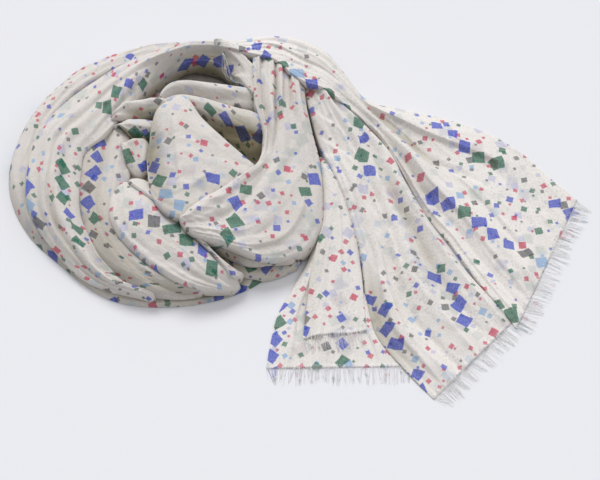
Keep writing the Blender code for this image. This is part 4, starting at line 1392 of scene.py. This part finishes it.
def core_grid():
    """The hidden layers inside the coil, as rounded steps with loose wrinkles."""
    rings, sides = 24 * MOUND_LAYERS, 300
    rows = []
    for ring in range(rings + 1):
        layer = ring / rings * MOUND_LAYERS
        step = min(math.floor(layer), MOUND_LAYERS - 1)
        part = layer - step
        height = min((step + math.sin(part * math.pi / 2) ** 0.8) / MOUND_LAYERS, 1.0)
        radius = 1.0 - 0.62 * (step + part**2.2) / MOUND_LAYERS
        rows.append((radius, height))
    radius, height = np.array(rows).T[:, :, None]
    turn = 2 * math.pi * np.arange(sides + 1)[None, :] / sides
    spread = 1 + 0.03 * np.sin(2 * turn + 0.6) + 0.015 * np.sin(5 * turn)
    back = np.clip(np.sin(turn - 0.35) + 0.2, 0.0, 1.0)
    reach = (MOUND_RADIUS - 1.5 + 16.0 * back) * radius * spread
    rise = MOUND_HEIGHT * height * (1 + 0.05 * np.sin(turn * 3 + radius * 5))
    around = turn * 120.0
    closed = np.minimum(turn / 0.4, 1.0) * np.minimum((2 * math.pi - turn) / 0.4, 1.0)
    wrinkle = soft_noise(around / 30 + 0 * radius, radius * 14 + 0 * turn, 71) * closed
    rise = np.maximum(rise + 1.1 * wrinkle * np.minimum(height * 6, 1.0), 0.1)
    grid = np.stack((
        COIL_CENTRE[0] + reach * np.cos(turn),
        COIL_CENTRE[1] + reach * np.sin(turn),
        rise,
    ), axis=-1)
    across, along = np.broadcast_arrays(MOUND_RADIUS * radius, around)
    return grid, print_place("heap_core", grid, across, along)


def add_core(grid, places, bed, material):
    """The hidden layers as a piece of the scene, closed at the top and underneath."""
    middle = np.array((*COIL_CENTRE, MOUND_HEIGHT * 0.94))
    rim = np.array((*COIL_CENTRE, 0.1))
    count = grid.shape[0] * grid.shape[1]
    points = np.concatenate((grid.reshape(-1, 3), (middle, rim)))
    index = np.arange(count).reshape(grid.shape[:2])
    faces = grid_faces(index).tolist()
    faces += [(here, after, count) for here, after in zip(index[-1, :-1], index[-1, 1:])]
    faces += [(after, here, count + 1) for here, after in zip(index[0, :-1], index[0, 1:])]
    uv = places.reshape(-1, 2)
    uv = np.concatenate((uv, uv[:2]))
    # Painted shade on the core, where what lies around it hides its sky.
    painted_shade = CORE_PAINTED_SHADE * closed_share(points, bed)
    add_mesh("core_layers", points, faces, uv, material, painted_shade, "heap_core")


def fringe_spines(name, hem, inner, bed):
    """Middle lines and thicknesses of the loose threads along a hem."""
    chance = np.random.RandomState(sum(ord(letter) for letter in name))
    stations = stations_along(hem[:, :2])
    count = int(stations[-1] * THREADS_PER_MM)
    spots = np.sort(chance.uniform(0.0, stations[-1], count))

    def along_hem(values):
        return np.stack([np.interp(spots, stations, column) for column in values.T], axis=1)

    root = along_hem(hem)
    within = along_hem(inner)
    run = unit(along_hem(np.gradient(hem[:, :2], axis=0)))
    out = np.stack((run[:, 1], -run[:, 0]), axis=1)
    if np.sum(out * (root - within)[:, :2]) < 0:
        out = -out
    zero = np.zeros(count)
    tuft = np.round(spots / TUFT_SPACING + 0.35 * soft_noise(spots / 9, zero + 4.5, 7))
    drawn = (tuft * TUFT_SPACING - spots) * chance.uniform(0.3, 0.9, count)
    tilt = np.random.RandomState(23).uniform(-0.16, 0.16, int(tuft.max()) + 2)
    lean = 0.16 * soft_noise(spots / 30, zero + 0.5, 5) + tilt[np.maximum(tuft, 0).astype(int)]
    lean += chance.uniform(-0.07, 0.07, count)
    uneven = 0.92 + 0.20 * soft_noise(spots / 16, zero + 2.5, 6)
    length = STRAND_LENGTH * uneven * chance.uniform(0.70, 1.08, count)
    curl = chance.uniform(-1.6, 1.6, count)
    lift = chance.uniform(0.0, 0.4, count)
    thickness = chance.uniform(0.09, 0.15, count)
    share = np.concatenate(((-0.2,), np.linspace(0.0, 1.0, THREAD_RINGS - 1)))[None, :]
    held = np.linalg.norm((root - within)[:, :2], axis=1)[:, None]
    forward = np.where(share < 0.0, -held, length[:, None] * share)
    share = np.maximum(share, 0.0)
    sideways = (lean * length)[:, None] * share**1.2 + curl[:, None] * np.sin(share * 3.0) * share
    sideways += drawn[:, None] * np.minimum(share * 2.5, 1.0)
    plan = root[:, None, :2] + out[:, None] * forward[..., None]
    plan += run[:, None] * sideways[..., None]
    floor = resting_height(swollen(bed, 1)[bed_cells(plan)])
    over_cloth = np.where(forward < 0.0, within[:, 2:3], root[:, 2:3]) + THREAD_CLEARANCE
    height = np.maximum(floor, over_cloth * (1 - share) ** 2)
    height += lift[:, None] * 4 * share * (1 - share)
    return np.concatenate((plan, height[..., None]), axis=2), thickness


def add_threads(name, stretch, spine, thickness, material, node):
    """Thin three-sided threads along the given spines, joined into one piece."""
    count, rings = spine.shape[:2]
    run = np.gradient(spine, axis=1)
    side = unit(np.stack((-run[..., 1], run[..., 0]), axis=-1))
    side = np.concatenate((side, np.zeros((count, rings, 1))), axis=2)
    taper = thickness[:, None] * np.linspace(1.0, 0.45, rings)[None, :]
    corners = []
    for turn in range(3):
        angle = 2 * math.pi * turn / 3 + math.pi / 2
        corner = spine + side * (1.25 * taper * math.cos(angle))[..., None]
        corner[..., 2] += 0.6 * taper * math.sin(angle)
        corners.append(corner)
    points = np.stack(corners, axis=2)
    points[..., 2] = np.maximum(points[..., 2], 0.02)
    index = np.arange(count * rings * 3).reshape(count, rings, 3)
    faces = []
    for turn in range(3):
        after = (turn + 1) % 3
        quad = np.stack((
            index[:, :-1, turn], index[:, :-1, after], index[:, 1:, after], index[:, 1:, turn],
        ), axis=-1)
        faces.append(quad.reshape(-1, 4))
    faces = np.concatenate(faces).tolist()
    faces += index[:, 0, ::-1].tolist() + index[:, -1].tolist()
    flat = points.reshape(-1, 3)
    uv = print_place(stretch, flat, flat[:, 0], flat[:, 1])
    # The threads carry no painted shade.
    painted_shade = np.zeros(len(flat))
    return add_mesh(name + "_threads", flat, faces, uv, material, painted_shade, node)


def arch_threads():
    """Middle lines and thicknesses of the few threads that hang loose in the arch."""
    chance = np.random.RandomState(31)
    line = resampled(np.array(ARCH_THREAD, dtype=float)[:, None], (THREAD_RINGS * 3, 1))[:, 0]
    spine = np.repeat(line[None], ARCH_THREAD_COUNT, axis=0)
    share = np.linspace(0.0, 1.0, len(line))[None, :]
    reach = chance.uniform(-1.0, 1.0, (ARCH_THREAD_COUNT, 3))
    sag = np.sin(math.pi * share)[..., None]
    spine += reach[:, None] * (1.2 + (6.5, 3.5, 1.2) * sag) * (1.0, 1.0, 0.4)
    spine[..., 2] -= np.abs(reach[:, :1]) * sag[..., 0]
    return spine, chance.uniform(0.17, 0.25, ARCH_THREAD_COUNT)


def declare_sheet(grid):
    """Measure the width, length and area of what shows of a stretch over its finished surface;
    nothing is done with them.
    """
    across, along = cloth_place(grid)
    width = float((across[:, -1] - across[:, 0]).max())
    length = float(along[-1, 0])
    rows, columns = np.gradient(grid, axis=0), np.gradient(grid, axis=1)
    area = float(np.linalg.norm(np.cross(rows, columns), axis=2).sum())
    area = min(area, width * length)


def main():
    make_stage()
    fan_base, coil_shaded_base = (CREAM, WARM_CREAM), (COIL_SHADED_CREAM, COIL_SHADED_WARM_CREAM)
    thread_base = (THREAD_WHITE, THREAD_WHITE)
    cloth = make_print_material("printed_gauze", 1.0, True, fan_base, FAN_CHAIN_GAP)
    # The coil's cloth is a darker copy with painted shade for its many layers.
    coil_shaded_cloth = make_print_material("layered_gauze_shaded", 1.0, True, coil_shaded_base, COIL_CHAIN_GAP)
    thread = make_print_material("loose_thread", THREAD_INK, False, thread_base, FAN_CHAIN_GAP)
    bed = new_bed()
    core, core_places = core_grid()
    add_to_bed(bed, core)
    hems = {stretch: name for name, stretch in FRINGES}
    shells = []
    for order, (name, rows, spans_along, spans_across) in enumerate(LAID):
        grid = stretch_shell(name, rows, spans_along, spans_across, bed, 100 + order * 10)
        fringe = None
        if name in hems:
            fringe = fringe_spines(hems[name], grid[-1], grid[-1 - HELD_ROWS], bed)
        # Painted shade from the table of hollows.
        shade = hollow_shade(name, grid.shape[:2])
        grid = with_rolled_edges(grid, bed, name in hems, FREE_FALL.get(name, EDGE_FALL))
        end_rows = 0 if name in hems else TURNED_COLUMNS
        added = ((TURNED_COLUMNS, end_rows), (TURNED_COLUMNS, TURNED_COLUMNS))
        shade = np.pad(shade, added, mode="edge")
        add_to_bed(bed, grid)
        shells.append((name, grid, shade, fringe))
    add_core(core, core_places, bed, coil_shaded_cloth)
    for name, grid, shade, fringe in shells:
        across, along = cloth_place(grid)
        places = print_place(name, grid, across, along)
        # The coil's stretches take the darker copy of the cloth, with painted shade.
        material = cloth if name.startswith("fan_") else coil_shaded_cloth
        item = add_shell(name + "_cloth", grid, places, material, shade, bed, name)
        if fringe:
            add_threads(hems[name], name, *fringe, thread, hems[name])
        if name == "left_turn":
            add_threads("arch", name, *arch_threads(), thread, None)
        declare_sheet(grid)


main()
